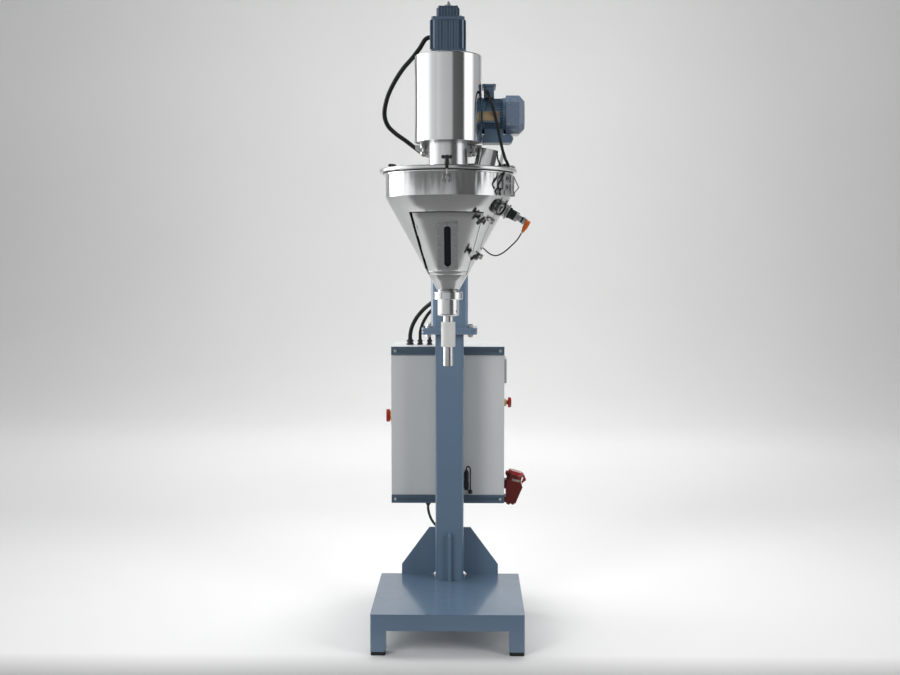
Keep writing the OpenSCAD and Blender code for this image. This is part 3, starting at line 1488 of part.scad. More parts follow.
base_frame();
foot_pads();
column();
mast();
head_bracket();
frame_fasteners();
cabinet_rails();
cabinet_shell();
cabinet_electrics();
cabinet_door();
door_lock();
cable_glands();
hmi_panel();
switch_plates();
estop_button();
isolator_handle();
socket_body();
socket_lid();
drive_casing();
servo_motor();
servo_cap();
gearbox();
gear_motor();
terminal_box();
fan_cowl();
motor_fan();
hopper_lid();
inlet_pipe();
gaskets();
hopper_shell();
clamp_lugs();
hatch();
sight_frame();
sight_glass();
lid_bolt_front();
lid_bolt_right();
lid_bolt_left();
lid_knob_front();
lid_knob_right();
lid_knob_left();
hatch_bolt_upper();
hatch_bolt_lower();
hatch_knob_upper();
hatch_knob_lower();
union_nut();
tube_adapter();
auger_tube();
tube_sleeve();
auger();
agitator();
level_sensor();
sensor_plug();
servo_cable();
motor_cable();
sensor_cable();
trunk_cable_a();
trunk_cable_b();
trunk_cable_c();
lower_cable();
panel_lead();
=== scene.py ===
"""Looks of a floor-standing auger filler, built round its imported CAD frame."""

import math
import random

import bmesh
import bpy
from mathutils import Matrix, Vector


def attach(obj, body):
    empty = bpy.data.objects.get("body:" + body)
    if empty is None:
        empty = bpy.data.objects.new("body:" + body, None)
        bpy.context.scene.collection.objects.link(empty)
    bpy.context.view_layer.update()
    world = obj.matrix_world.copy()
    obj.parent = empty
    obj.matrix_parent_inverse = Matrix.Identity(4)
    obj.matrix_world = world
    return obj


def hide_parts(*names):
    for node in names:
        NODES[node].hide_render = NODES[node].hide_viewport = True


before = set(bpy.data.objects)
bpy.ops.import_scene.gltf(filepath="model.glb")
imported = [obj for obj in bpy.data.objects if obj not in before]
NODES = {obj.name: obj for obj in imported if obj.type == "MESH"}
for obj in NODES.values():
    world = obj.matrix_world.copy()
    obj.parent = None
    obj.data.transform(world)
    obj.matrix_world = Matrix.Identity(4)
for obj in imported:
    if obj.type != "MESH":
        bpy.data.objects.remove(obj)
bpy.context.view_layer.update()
BODY = "machine_frame"
MM_PER_M = 1000

# The CAD frame's origin, in the machine's own millimetres: X and Y count from the auger's axis
ORIGIN_X, ORIGIN_Y = 16.3, 207.25

# Camera: lens in mm, place in the machine's millimetres, tilt and turn in degrees
CAMERA_LENS, CAMERA_SENSOR = 47.2, 36
CAMERA_CLIP = (0.1, 60)
CAMERA_AT = (68.5, -3892.6, 1264)
CAMERA_TILT, CAMERA_TURN = 86.436, 0.92

# Directions of the machine
FRONT, REAR, RIGHT, UP, DOWN = (0, -1, 0), (0, 1, 0), (1, 0, 0), (0, 0, 1), (0, 0, -1)

# The hopper, in mm and degrees: the cone's upper edge, its slope from upright, the drum's skin
CONE_TOP_R, CONE_TOP_Z, CONE_SLOPE = 205, 1480, 29.2
DRUM_R = 204.5

# Corners of a rounded rectangle: the signs of x and y, and the angle where the corner's arc starts
CORNERS = ((1, 1, 0), (-1, 1, 90), (-1, -1, 180), (1, -1, 270))


def pt(x, y, z):
    """A point of the machine, from millimetres to the frame's metres."""
    return Vector((x - ORIGIN_X, y - ORIGIN_Y, z)) / MM_PER_M


def new_object(name, data):
    """Makes an object and puts it into the scene."""
    obj = bpy.data.objects.new(name, data)
    bpy.context.scene.collection.objects.link(obj)
    return obj


def place_camera():
    """Camera at the photograph's angle."""
    camera = bpy.data.cameras.new("camera")
    camera.lens, camera.sensor_width = CAMERA_LENS, CAMERA_SENSOR
    camera.clip_start, camera.clip_end = CAMERA_CLIP
    eye = new_object("camera", camera)
    eye.location = pt(*CAMERA_AT)
    eye.rotation_euler = (math.radians(CAMERA_TILT), 0, math.radians(CAMERA_TURN))
    bpy.context.scene.camera = eye
    bpy.context.scene.view_settings.view_transform = "Standard"


place_camera()


# Materials

COAT_ROUGH = 0.12
# Near black of the painted shade along a gap
GAP_SHADE_COLOR = (0.022, 0.022, 0.023)

# Sockets of the mix node when it mixes colours
MIX_FACTOR, MIX_A, MIX_B, MIX_RESULT = 0, 6, 7, 2

# Operations of the vector node that give a value and no vector
VALUE_OPERATIONS = ("LENGTH", "DOT_PRODUCT")


class Nodes:
    """A node tree, with short calls for the nodes that it uses."""

    def __init__(self, tree):
        self.tree = tree

    def put(self, socket, value):
        """Links an output to a socket, or sets the socket's own value."""
        if isinstance(value, bpy.types.NodeSocket):
            self.tree.links.new(value, socket)
        else:
            socket.default_value = value

    def node(self, kind, inputs=(), **settings):
        n = self.tree.nodes.new(kind)
        for key, value in settings.items():
            setattr(n, key, value)
        for key, value in dict(inputs).items():
            self.put(n.inputs[key], value)
        return n

    def calc(self, operation, a, b):
        return self.node("ShaderNodeMath", {0: a, 1: b}, operation=operation).outputs[0]

    def vector(self, operation, *values):
        """A vector node's vector, or its value where the operation gives one."""
        n = self.node("ShaderNodeVectorMath", dict(enumerate(values)), operation=operation)
        return n.outputs["Value" if operation in VALUE_OPERATIONS else "Vector"]

    def between(self, value, low, high):
        """1 where a value lies between two limits."""
        return self.calc("MULTIPLY", self.calc("GREATER_THAN", value, low),
                         self.calc("LESS_THAN", value, high))

    def span(self, fac, lo, hi, at=(0.3, 0.7), **settings):
        """Maps the range at of a value to the range from lo to hi."""
        n = self.node("ShaderNodeMapRange", {"Value": fac, "From Min": at[0], "From Max": at[1],
                                             "To Min": lo, "To Max": hi}, **settings)
        return n.outputs["Result"]


class Shader(Nodes):
    """A material whose look comes from procedural textures in object coordinates."""

    def __init__(self, name, color, metallic=0.0, rough=0.5, coat=0.0, specular=0.5, aniso=0.0):
        self.mat = bpy.data.materials.new(name)
        self.mat.use_nodes = True
        super().__init__(self.mat.node_tree)
        self.bsdf = self.tree.nodes["Principled BSDF"]
        self.coord = self.node("ShaderNodeTexCoord").outputs["Object"]
        self.normal = None
        self.set("Base Color", (*color, 1))
        self.set("Metallic", metallic)
        self.set("Roughness", rough)
        self.set("Coat Weight", coat)
        self.set("Coat Roughness", COAT_ROUGH)
        self.set("Specular IOR Level", specular)
        self.set("Anisotropic", aniso)
        self.mat.diffuse_color = (*color, 1)

    def set(self, socket, value):
        self.put(self.bsdf.inputs[socket], value)

    def noise(self, scale, stretch=(1, 1, 1), detail=3.0, rough=0.5):
        place = self.node("ShaderNodeMapping", {"Vector": self.coord, "Scale": stretch})
        n = self.node("ShaderNodeTexNoise", {"Vector": place.outputs["Vector"], "Scale": scale,
                                             "Detail": detail, "Roughness": rough})
        return n.outputs["Fac"]

    def mix(self, fac, a, b):
        """A colour between two others. Each is a tuple or another node's output."""
        n = self.node("ShaderNodeMix", data_type="RGBA")
        for index, value in ((MIX_FACTOR, fac), (MIX_A, a), (MIX_B, b)):
            self.put(n.inputs[index], (*value, 1) if isinstance(value, tuple) else value)
        return n.outputs[MIX_RESULT]

    def clouded(self, fac, color, dark, bright):
        """The colour, times dark to times bright as a noise goes."""
        return self.mix(self.span(fac, 0, 1), shade(color, dark), shade(color, bright))

    def gloss(self, fac, rough, less, more):
        """Roughness that a noise varies, by less below and by more above."""
        self.set("Roughness", self.span(fac, rough - less, rough + more))

    def axis(self, letter):
        """One of the object coordinates."""
        return self.node("ShaderNodeSeparateXYZ", {"Vector": self.coord}).outputs[letter]

    def near_line(self, low, high, radius):
        """1 within a radius of the line from one point to another, with a soft edge."""
        way = (high - low).normalized()
        away = self.vector("SUBTRACT", self.coord, low)
        far = self.vector("LENGTH", self.vector("CROSS_PRODUCT", away, way))
        along = self.vector("DOT_PRODUCT", away, way)
        near = self.span(far, 1, 0, at=(radius * 0.8, radius))
        return self.calc("MULTIPLY", near, self.between(along, 0.0, (high - low).length))

    def bump(self, height, strength, distance):
        """Adds a bump, in metres, over the bumps before it."""
        inputs = {"Height": height, "Strength": strength, "Distance": distance}
        if self.normal is not None:
            inputs["Normal"] = self.normal
        self.normal = self.node("ShaderNodeBump", inputs).outputs["Normal"]
        self.set("Normal", self.normal)


def shade(color, k):
    return tuple(min(1, c * k) for c in color)


def paint(name, color, rough=0.38, peel=0.10, coat=0.15):
    """Sprayed paint on metal: slight cloudiness and an orange-peel skin."""
    s = Shader(name, color, rough=rough, coat=coat)
    s.set("Base Color", s.clouded(s.noise(5, detail=3), color, 0.96, 1.03))
    s.gloss(s.noise(26, detail=2), rough, 0.02, 0.03)
    s.bump(s.noise(420, detail=2), peel, 0.0004)
    s.bump(s.noise(22, detail=2), peel * 0.6, 0.002)
    return s.mat


def powder_coat(name, color, rough=0.5):
    """Textured powder coat of a cabinet."""
    s = Shader(name, color, rough=rough)
    s.set("Base Color", s.clouded(s.noise(3, detail=3), color, 0.97, 1.02))
    s.gloss(s.noise(60, detail=3), rough, 0.05, 0.06)
    s.bump(s.noise(700, detail=2), 0.16, 0.0004)
    return s.mat


def steel(name, color, rough, streak, aniso=0.0, grain=0.03, gap_shade=(), lower=None):
    """Ground stainless steel: fine streaks along the grinding in gloss and bump, upright blur.
    A gap line goes from point to point in mm, with its radius; along it the colour is painted dark,
    as the shade in the gap.
    lower is a height in metres and a darker colour below it: painted shade on the lower part."""
    s = Shader(name, color, metallic=1.0, rough=rough, aniso=aniso)
    lines = s.noise(9, stretch=streak, detail=6, rough=0.62)
    fine = s.noise(60, stretch=streak, detail=4, rough=0.6)
    smear = s.noise(7, detail=4)
    tint = s.clouded(smear, color, 0.96, 1.03)
    # Painted shade: a darker colour below a height
    if lower:
        height, under = lower
        below = s.calc("LESS_THAN", s.axis("Z"), height)
        tint = s.mix(below, tint, s.clouded(smear, under, 0.96, 1.03))
    # Painted shade along each gap line
    for low, high, radius in gap_shade:
        near = s.near_line(pt(*low), pt(*high), radius / MM_PER_M)
        tint = s.mix(near, tint, GAP_SHADE_COLOR)
    s.set("Base Color", tint)
    s.set("Roughness", s.calc("ADD", s.span(lines, rough - 0.02, rough + 0.03),
                              s.span(smear, -0.02, 0.03)))
    s.bump(fine, grain, 0.0002)
    if aniso:
        s.set("Tangent", s.node("ShaderNodeCombineXYZ", {"Z": 1.0}).outputs[0])
    return s.mat


def banded(name, origin, axis, bands, dark, bright, rough=0.34):
    """Dark plastic and bright metal in turn along an axis. Bands are the bright spans in mm."""
    s = Shader(name, dark, rough=rough)
    along = s.vector("DOT_PRODUCT", s.vector("SUBTRACT", s.coord, origin), axis)
    mask, *others = [s.between(along, lo / MM_PER_M, hi / MM_PER_M) for lo, hi in bands]
    for other in others:
        mask = s.calc("MAXIMUM", mask, other)
    s.set("Base Color", s.mix(mask, dark, bright))
    s.set("Metallic", mask)
    s.gloss(s.noise(90, detail=3), rough, 0.06, 0.05)
    s.bump(s.noise(700, detail=2), 0.06, 0.0003)
    return s.mat


def plastic(name, color, rough=0.45, grain=0.12, coat=0.0):
    """Moulded plastic with a fine eroded skin."""
    s = Shader(name, color, rough=rough, coat=coat)
    s.set("Base Color", s.clouded(s.noise(12, detail=3), color, 0.94, 1.05))
    s.gloss(s.noise(90, detail=3), rough, 0.05, 0.06)
    s.bump(s.noise(900, detail=2), grain, 0.0003)
    return s.mat


def rubber(name, color, rough=0.62):
    """Matt rubber with a little dust."""
    s = Shader(name, color, rough=rough, specular=0.35)
    dust = s.span(s.noise(14, detail=5), 0, 1, at=(0.45, 0.8))
    s.set("Base Color", s.mix(dust, color, tuple(c + 0.012 for c in color)))
    s.gloss(s.noise(120, detail=3), rough, 0.08, 0.08)
    s.bump(s.noise(300, detail=3), 0.15, 0.0004)
    return s.mat


def zinc(name):
    """Bright zinc plating with its faint cloudy tint."""
    s = Shader(name, (0.62, 0.62, 0.60), metallic=1.0, rough=0.3)
    cloud = s.noise(70, detail=4)
    s.set("Base Color", s.mix(s.span(cloud, 0, 1), (0.55, 0.56, 0.55), (0.70, 0.69, 0.65)))
    s.set("Roughness", s.span(s.noise(160, detail=3), 0.24, 0.38))
    return s.mat


def glass(name):
    """Sight glass painted near black, as painted shade of the hopper's unlit inside."""
    s = Shader(name, (0.008, 0.009, 0.010), rough=0.2, specular=0.22)
    s.set("Roughness", s.span(s.noise(30, detail=3), 0.16, 0.26))
    s.bump(s.noise(18, detail=2), 0.03, 0.001)
    return s.mat


def anodised(name, color):
    """Brushed and dyed aluminium plate."""
    s = Shader(name, color, metallic=1.0, rough=0.4)
    s.set("Base Color", s.clouded(s.noise(40, stretch=(1, 1, 12)), color, 0.92, 1.05))
    s.set("Roughness", s.span(s.noise(80, stretch=(1, 1, 20), detail=4), 0.34, 0.48))
    return s.mat


# Hinge line of the hatch and the radius of the painted shade along its gap, in mm
HINGE = ((-70.5, -30.1, 1250), (-117.5, -130.0, 1426), 6.0)

# Steel of the cone and the hatch, a darker grey than the drum's as painted shade, and the height in
# metres where the cone starts
CONE_SHADED_GREY = (0.665, 0.665, 0.67)
CONE_TOP = CONE_TOP_Z / MM_PER_M

SENSOR_FOOT, SENSOR_AXIS = (183.2, 0, 1441), (0.8729, 0, -0.4879)

M = {
    "frame": paint("frame_paint", (0.106, 0.166, 0.244), rough=0.30, peel=0.04, coat=0.7),
    "rail": paint("rail_paint", (0.062, 0.100, 0.142), rough=0.34, coat=0.3),
    "motor": paint("motor_paint", (0.066, 0.112, 0.172), rough=0.40, peel=0.16),
    "cowl": paint("cowl_paint", (0.094, 0.132, 0.196), rough=0.26, peel=0.08, coat=0.5),
    "servo": paint("servo_paint", (0.048, 0.080, 0.126), rough=0.30, coat=0.3),
    # Painted shade of the servo's recessed lines, and painted highlight of its ridges
    "servo_shade": paint("servo_groove_shade_paint", (0.016, 0.028, 0.045), rough=0.45),
    "servo_highlight": paint("servo_highlight_paint", (0.16, 0.22, 0.30), rough=0.24, coat=0.4),
    "cabinet": powder_coat("cabinet_coat", (0.56, 0.57, 0.575)),
    "drum": steel("drum_steel", (0.74, 0.74, 0.745), 0.14, (1, 1, 70), aniso=0.5),
    "shell": steel("shell_steel", (0.74, 0.74, 0.745), 0.15, (1, 1, 70), aniso=0.5,
                   gap_shade=[HINGE], lower=(CONE_TOP, CONE_SHADED_GREY)),
    "cone": steel("cone_steel", CONE_SHADED_GREY, 0.18, (1, 1, 70), aniso=0.5, gap_shade=[HINGE]),
    "casing": steel("casing_steel", (0.80, 0.80, 0.805), 0.12, (1, 1, 70), aniso=0.6, grain=0.015),
    "lid": steel("lid_steel", (0.70, 0.70, 0.705), 0.22, (40, 40, 3)),
    "turned": steel("turned_steel", (0.80, 0.80, 0.805), 0.2, (1, 1, 90), aniso=0.5),
    "plate": steel("plate_steel", (0.56, 0.565, 0.57), 0.3, (60, 3, 3)),
    "tube": steel("tube_steel", (0.72, 0.72, 0.725), 0.16, (1, 1, 60), aniso=0.5),
    "zinc": zinc("zinc_plating"),
    "cast": steel("fitting_steel", (0.46, 0.465, 0.47), 0.36, (4, 4, 4), grain=0.12),
    # Near black of the clamp port's cap, and painted shadow on its clamp ring
    "dark": steel("dark_cap_and_clamp_shadow", (0.10, 0.10, 0.105), 0.34, (4, 4, 4), grain=0.1),
    "sensor": banded("sensor_body", pt(*SENSOR_FOOT), Vector(SENSOR_AXIS),
                     [(-12, 8), (42, 64), (70, 82)], (0.014, 0.014, 0.016), (0.62, 0.625, 0.63)),
    "cap": banded("servo_cap_paint", pt(0, 0, 0), Vector(UP), [(2096, 2200)],
                  (0.030, 0.052, 0.082), (0.70, 0.71, 0.72), rough=0.3),
    "rubber": rubber("black_rubber", (0.012, 0.012, 0.013)),
    "cord": rubber("cable_sheath", (0.010, 0.010, 0.011), rough=0.5),
    "black": plastic("black_plastic", (0.014, 0.014, 0.016), rough=0.42),
    "knob": plastic("knob_plastic", (0.010, 0.010, 0.011), rough=0.34, grain=0.08),
    "red": plastic("red_plastic", (0.120, 0.007, 0.005), rough=0.40, grain=0.06),
    "redbright": plastic("red_lid_plastic", (0.300, 0.010, 0.007), rough=0.24, grain=0.05,
                         coat=0.5),
    "yellow": plastic("yellow_plastic", (0.52, 0.38, 0.12), rough=0.36, grain=0.06),
    "white": plastic("white_plastic", (0.62, 0.62, 0.615), rough=0.42, grain=0.05),
    "orange": plastic("orange_plastic", (0.55, 0.12, 0.012), rough=0.35, grain=0.05),
    "panel": plastic("panel_plastic", (0.36, 0.38, 0.39), rough=0.46),
    "label": plastic("label_film", (0.34, 0.32, 0.27), rough=0.4, grain=0.03),
    "tan": anodised("tan_plate", (0.50, 0.38, 0.22)),
    "glass": glass("sight_glass"),
}

# CAD nodes that show as they are: the material and the bevel in mm
KEEP = {
    "base_frame": ("frame", 1.6), "foot_pads": ("rubber", 1.5), "column": ("frame", 1.4),
    "mast": ("frame", 1.2), "head_bracket": ("plate", 0.7), "frame_fasteners": ("zinc", 0.4),
    "cabinet_rails": ("rail", 0.6), "cabinet_shell": ("cabinet", 1.2),
    "cabinet_electrics": ("panel", 0.6), "cabinet_door": ("cabinet", 1.5),
    "door_lock": ("black", 0.5), "cable_glands": ("black", 0.35), "hmi_panel": ("panel", 0.8),
    "switch_plates": ("yellow", 0.6), "estop_button": ("redbright", 0.4),
    "isolator_handle": ("redbright", 0.6), "socket_body": ("red", 1.0),
    "socket_lid": ("redbright", 0.7), "drive_casing": ("casing", 0.4),
    "servo_motor": ("servo", 0.6), "servo_cap": ("cap", 0.8), "gearbox": ("motor", 1.0),
    "gear_motor": ("motor", 0.5), "terminal_box": ("motor", 0.7), "fan_cowl": ("cowl", 0.8),
    "motor_fan": ("black", 0.4),
    "hopper_lid": ("lid", 0.5), "inlet_pipe": ("drum", 0.4), "gaskets": ("rubber", 0.3),
    "hopper_shell": ("shell", 0.4), "clamp_lugs": ("cast", 0.4), "hatch": ("cone", 0.4),
    "sight_frame": ("plate", 0.5), "sight_glass": ("glass", 0.2), "union_nut": ("turned", 0.6),
    "tube_adapter": ("turned", 0.5), "auger_tube": ("tube", 0.2), "tube_sleeve": ("white", 0.5),
    "auger": ("tube", 0.1), "agitator": ("cone", 0.4), "level_sensor": ("sensor", 0.6),
    "sensor_plug": ("orange", 0.5),
}
for way in ("lid_{}_front", "lid_{}_right", "lid_{}_left", "hatch_{}_upper", "hatch_{}_lower"):
    KEEP[way.format("bolt")] = ("zinc", 0.3)
    KEEP[way.format("knob")] = ("knob", 0.6)

# Round sheet parts whose long faces keep the normals that they come with
AS_LOADED = {"drive_casing", "hopper_lid", "inlet_pipe", "union_nut", "tube_adapter", "auger_tube",
             "tube_sleeve"}

# Angles in degrees above which an edge is rounded, on cut sheet of the cone and on the rest
CUT_SHEETS = {"hopper_shell", "hatch"}
CUT_EDGE, SHARP_EDGE = 25, 32
WELD_DISTANCE = 0.00001


def finish_edges(obj, width, angle):
    """Small round on every sharp edge, with clean shading."""
    bevel = obj.modifiers.new("edge", "BEVEL")
    bevel.width, bevel.segments = width / MM_PER_M, 2
    bevel.limit_method, bevel.angle_limit = "ANGLE", math.radians(angle)
    bevel.harden_normals = True
    bevel.use_clamp_overlap = True


def dress(obj, mat):
    obj.data.materials.clear()
    obj.data.materials.append(mat)


def dress_nodes():
    """Gives the CAD nodes their materials and rounds their edges."""
    for name, (look, width) in KEEP.items():
        node = NODES[name]
        dress(node, M[look])
        if name in AS_LOADED:
            continue
        weld = node.modifiers.new("weld", "WELD")
        weld.merge_threshold = WELD_DISTANCE
        finish_edges(node, width, CUT_EDGE if name in CUT_SHEETS else SHARP_EDGE)


dress_nodes()


# Mesh helpers

def from_bmesh(name, bm):
    """Turns a finished mesh into a smooth-shaded object."""
    mesh = bpy.data.meshes.new(name)
    for f in bm.faces:
        f.smooth = True
    bm.to_mesh(mesh)
    bm.free()
    return new_object(name, mesh)


def smooth_path(points, steps=6):
    """Catmull-Rom points through the route."""
    pts = [points[0] * 2 - points[1]] + list(points) + [points[-1] * 2 - points[-2]]
    out = []
    for i in range(1, len(pts) - 2):
        a, b, c, d = pts[i - 1:i + 3]
        for k in range(steps):
            t = k / steps
            out.append(0.5 * (2 * b + (c - a) * t + (2 * a - 5 * b + 4 * c - d) * t ** 2
                              + (3 * b - 3 * c + d - a) * t ** 3))
    out.append(pts[-2])
    return out


def tangent(path, i):
    """Direction of a path at its point i."""
    return (path[min(i + 1, len(path) - 1)] - path[max(i - 1, 0)]).normalized()


def circle_verts(bm, p, u, v, r, sides):
    """Vertices of a circle round p in the plane of u and v."""
    turns = [2 * math.pi * k / sides for k in range(sides)]
    return [bm.verts.new(p + r * (math.cos(a) * u + math.sin(a) * v)) for a in turns]


def loft(bm, rings):
    """Joins rings of vertices into a closed form with flat ends."""
    n = len(rings[0])
    for a, b in zip(rings, rings[1:]):
        for k in range(n):
            bm.faces.new((a[k], a[(k + 1) % n], b[(k + 1) % n], b[k]))
    bm.faces.new(rings[0][::-1])
    bm.faces.new(rings[-1])


# Cords

CORD_SIDES = 20
CORDS = [
    # node, diameter in mm, stiffness, lay, points
    ("servo_cable", 15, "medium", "hanging",
     [(-56, 30, 2007), (-75, 32, 2000), (-94, 36, 1972), (-118, 42, 1942), (-150, 52, 1908),
      (-180, 64, 1865), (-204, 78, 1817), (-215, 92, 1768), (-207, 112, 1732), (-182, 136, 1706),
      (-148, 170, 1684), (-118, 215, 1664), (-93, 265, 1650), (-65, 300, 1642)]),
    ("motor_cable", 9.6, "medium", "hanging",
     [(127, -16, 1822), (127, -28, 1822), (130, -39, 1814), (137, -45, 1792), (149, -46, 1755),
      (159, -43, 1715), (167, -41, 1675), (175, -38, 1640), (185, -28, 1608), (195, -6, 1590),
      (198, 28, 1583), (185, 62, 1583), (160, 92, 1586), (128, 128, 1592), (104, 200, 1602),
      (93, 268, 1610), (65, 290, 1612)]),
    ("sensor_cable", 4.4, "limp", "hanging",
     [(241, 0, 1366), (233, 0, 1352), (222, 2, 1338), (209, 5, 1325), (190, 10, 1308),
      (172, 18, 1296), (155, 30, 1292), (138, 50, 1298), (122, 80, 1312), (106, 120, 1328),
      (86, 170, 1342), (58, 220, 1350), (40, 245, 1350)]),
    ("trunk_cable_a", 15, "medium", "loose",
     [(-40, 375, 1127.6), (-48, 392, 1129.6), (-66, 414, 1123.6), (-96, 436, 1099.6),
      (-122, 450, 1069.6), (-140, 459, 1037.6), (-148, 463, 1007.6), (-149, 463, 987.6)]),
    ("trunk_cable_b", 12, "medium", "loose",
     [(-40, 375, 1107.6), (-46, 394, 1109.6), (-60, 418, 1101.6), (-82, 442, 1079.6),
      (-100, 456, 1049.6), (-110, 462, 1019.6), (-112, 463, 1003.6), (-112, 463, 987.6)]),
    ("trunk_cable_c", 11, "medium", "loose",
     [(-40, 375, 1087.6), (-43, 394, 1089.6), (-50, 418, 1081.6), (-62, 442, 1061.6),
      (-72, 458, 1035.6), (-77, 463, 1013.6), (-77, 463, 999.6), (-77, 463, 987.6)]),
    ("lower_cable", 9.4, "medium", "loose",
     [(-82, 440, 371), (-82, 440, 356), (-78, 436, 338), (-68, 424, 318), (-52, 404, 302),
      (-34, 384, 293), (-20, 368, 292), (-20, 357, 292)]),
    ("panel_lead", 5, "limp", "loose",
     [(60, 344, 520), (60, 344, 524), (62, 342, 530), (67, 337, 533), (72, 332, 530),
      (74, 330, 523), (74, 330, 500), (74, 330, 475), (74, 333, 458), (74, 341, 444),
      (74, 354, 436)]),
]


def tube_mesh(name, path, radius):
    """Tube along a path with frames carried along it, closed at both ends."""
    bm = bmesh.new()
    before = (path[1] - path[0]).normalized()
    u = before.orthogonal().normalized()
    rings = []
    for i, p in enumerate(path):
        along = tangent(path, i)
        u = (before.rotation_difference(along) @ u).normalized()
        u = (u - along * u.dot(along)).normalized()
        before = along
        rings.append(circle_verts(bm, p, u, along.cross(u), radius, CORD_SIDES))
    loft(bm, rings)
    bmesh.ops.recalc_face_normals(bm, faces=bm.faces)
    return from_bmesh(name, bm)


def lay_cords():
    """Sheaths that replace the CAD's cords."""
    for name, wide, stiff, lay, route in CORDS:
        path = smooth_path([pt(*p) for p in route])
        cord = tube_mesh(name + "_sheath", path, wide / 2 / MM_PER_M)
        dress(cord, M["cord"])
        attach(cord, BODY)
        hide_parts(name)


lay_cords()


# Small pieces: screws, weld beads, plates and trim

RNG = random.Random(7)
TO_FRAME = (Matrix.Translation((-ORIGIN_X / MM_PER_M, -ORIGIN_Y / MM_PER_M, 0))
            @ Matrix.Scale(1 / MM_PER_M, 4))
SMOOTH_BELOW = 35


def move(x, y, z):
    return Matrix.Translation((x, y, z))


def turn(degrees, axis):
    return Matrix.Rotation(math.radians(degrees), 4, axis)


def at(x, y, z, facing=UP):
    """Frame at a point of the machine with its z along facing."""
    return move(x, y, z) @ Vector(facing).to_track_quat("Z", "Y").to_matrix().to_4x4()


def cone_r(z):
    return CONE_TOP_R - (CONE_TOP_Z - z) * math.tan(math.radians(CONE_SLOPE))


def on_cone(az, z):
    """Frame on the cone in machine millimetres: z out of the surface, y up the slope."""
    return turn(az, "Z") @ move(0, -cone_r(z), z) @ turn(90 + CONE_SLOPE, "X")


def round_point(r, az, z):
    """Point at an azimuth from the front, in degrees and positive to the right."""
    return (r * math.sin(math.radians(az)), -r * math.cos(math.radians(az)), z)


def circle_points(r, z, n):
    return [round_point(r, 360 * k / n, z) for k in range(n + 1)]


def add(name, bm, mat, body=BODY):
    """Turns the mesh, built in machine millimetres, into a piece of the scene."""
    bmesh.ops.transform(bm, matrix=TO_FRAME, verts=bm.verts)
    bmesh.ops.recalc_face_normals(bm, faces=bm.faces)
    obj = from_bmesh(name, bm)
    obj.data.set_sharp_from_angle(angle=math.radians(SMOOTH_BELOW))
    dress(obj, M[mat])
    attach(obj, body)


def lathe(bm, m, profile, sides=24, hexed=()):
    """Adds a turned form along z of the frame m, from radii and heights.
    Rings named in hexed are hexagons."""
    rings = []
    for i, (r, z) in enumerate(profile):
        if r == 0:
            rings.append([bm.verts.new(m @ Vector((0, 0, z)))])
            continue
        ring = []
        for k in range(sides):
            a = 2 * math.pi * k / sides
            rr = r
            if i in hexed:
                rr = r * math.cos(math.pi / 6) / math.cos((a % (math.pi / 3)) - math.pi / 6)
            ring.append(bm.verts.new(m @ Vector((rr * math.cos(a), rr * math.sin(a), z))))
        rings.append(ring)
    for a, b in zip(rings, rings[1:]):
        for k in range(sides):
            n = (k + 1) % sides
            if len(a) == 1:
                bm.faces.new((a[0], b[n], b[k]))
            elif len(b) == 1:
                bm.faces.new((a[k], a[n], b[0]))
            else:
                bm.faces.new((a[k], a[n], b[n], b[k]))
    if len(rings[0]) > 1:
        bm.faces.new(rings[0][::-1])
    if len(rings[-1]) > 1:
        bm.faces.new(rings[-1])


def slab(bm, m, w, d, h, r=1.0, edge=0.3, segments=4):
    """Adds a plate with round corners and a small edge round, its underside at z = 0 of the
    frame m."""
    outline = []
    for sx, sy, start in CORNERS:
        for k in range(segments + 1):
            a = math.radians(start + 90 * k / segments)
            outline.append((sx * (w / 2 - r), sy * (d / 2 - r), math.cos(a), math.sin(a)))
    loft(bm, [[bm.verts.new(m @ Vector((x + (r - inset) * c, y + (r - inset) * s, z)))
               for x, y, c, s in outline]
              for inset, z in ((0, 0), (0, h - edge), (edge * 0.3, h - edge * 0.3), (edge, h))])


def arc_plate(bm, r0, r1, az0, az1, z0, z1, n=14, edge=1.0, m=Matrix.Identity(4)):
    """Adds a plate bent round the z axis of the frame m, its outer edges broken."""
    rings = []
    for k in range(n + 1):
        out = Vector(round_point(1, az0 + (az1 - az0) * k / n, 0))
        face = r1 - (edge if k in (0, n) else 0)
        section = ((r0, z0), (face - edge, z0), (face, z0 + edge), (face, z1 - edge),
                   (face - edge, z1), (r0, z1))
        rings.append([bm.verts.new(m @ (out * r + Vector((0, 0, z)))) for r, z in section])
    loft(bm, rings)


def sweep(bm, path, radii, sides):
    """Adds a string of round section along a path, with one radius for each point."""
    u = (path[1] - path[0]).orthogonal().normalized()
    rings = []
    for i, (p, r) in enumerate(zip(path, radii)):
        t = tangent(path, i)
        u = (u - t * u.dot(t)).normalized()
        rings.append(circle_verts(bm, p, u, t.cross(u), r, sides))
    loft(bm, rings)


def rod(bm, points, r):
    """Adds a round rod along points in machine millimetres, smoothed."""
    path = smooth_path([Vector(p) for p in points], 5)
    sweep(bm, path, [r] * len(path), sides=10)


def bead(bm, points, r, closed=False, ripple=2.4):
    """Adds a weld bead along points in machine millimetres: a low rippled string."""
    pts = [Vector(p) for p in points]
    if closed:
        pts.append(pts[0])
    path = []
    for a, b in zip(pts, pts[1:]):
        n = max(1, round((b - a).length / (ripple / 4)))
        path += [a.lerp(b, k / n) for k in range(n)]
    path.append(pts[-1])
    radii = [r * (1 + 0.10 * math.cos(math.pi * i / 2) + 0.08 * (RNG.random() - 0.5))
             for i in range(len(path))]
    sweep(bm, path, radii, sides=8)


def socket_screw(bm, m, r, h):
    """Round-headed screw with a hexagon socket."""
    lathe(bm, m, [(0, h * 0.35), (r * 0.45, h * 0.35), (r * 0.47, h * 0.97), (r * 0.62, h),
                  (r * 0.85, h * 0.84), (r * 0.97, h * 0.5), (r, 0.15 * h), (r, 0)], hexed=(1, 2))


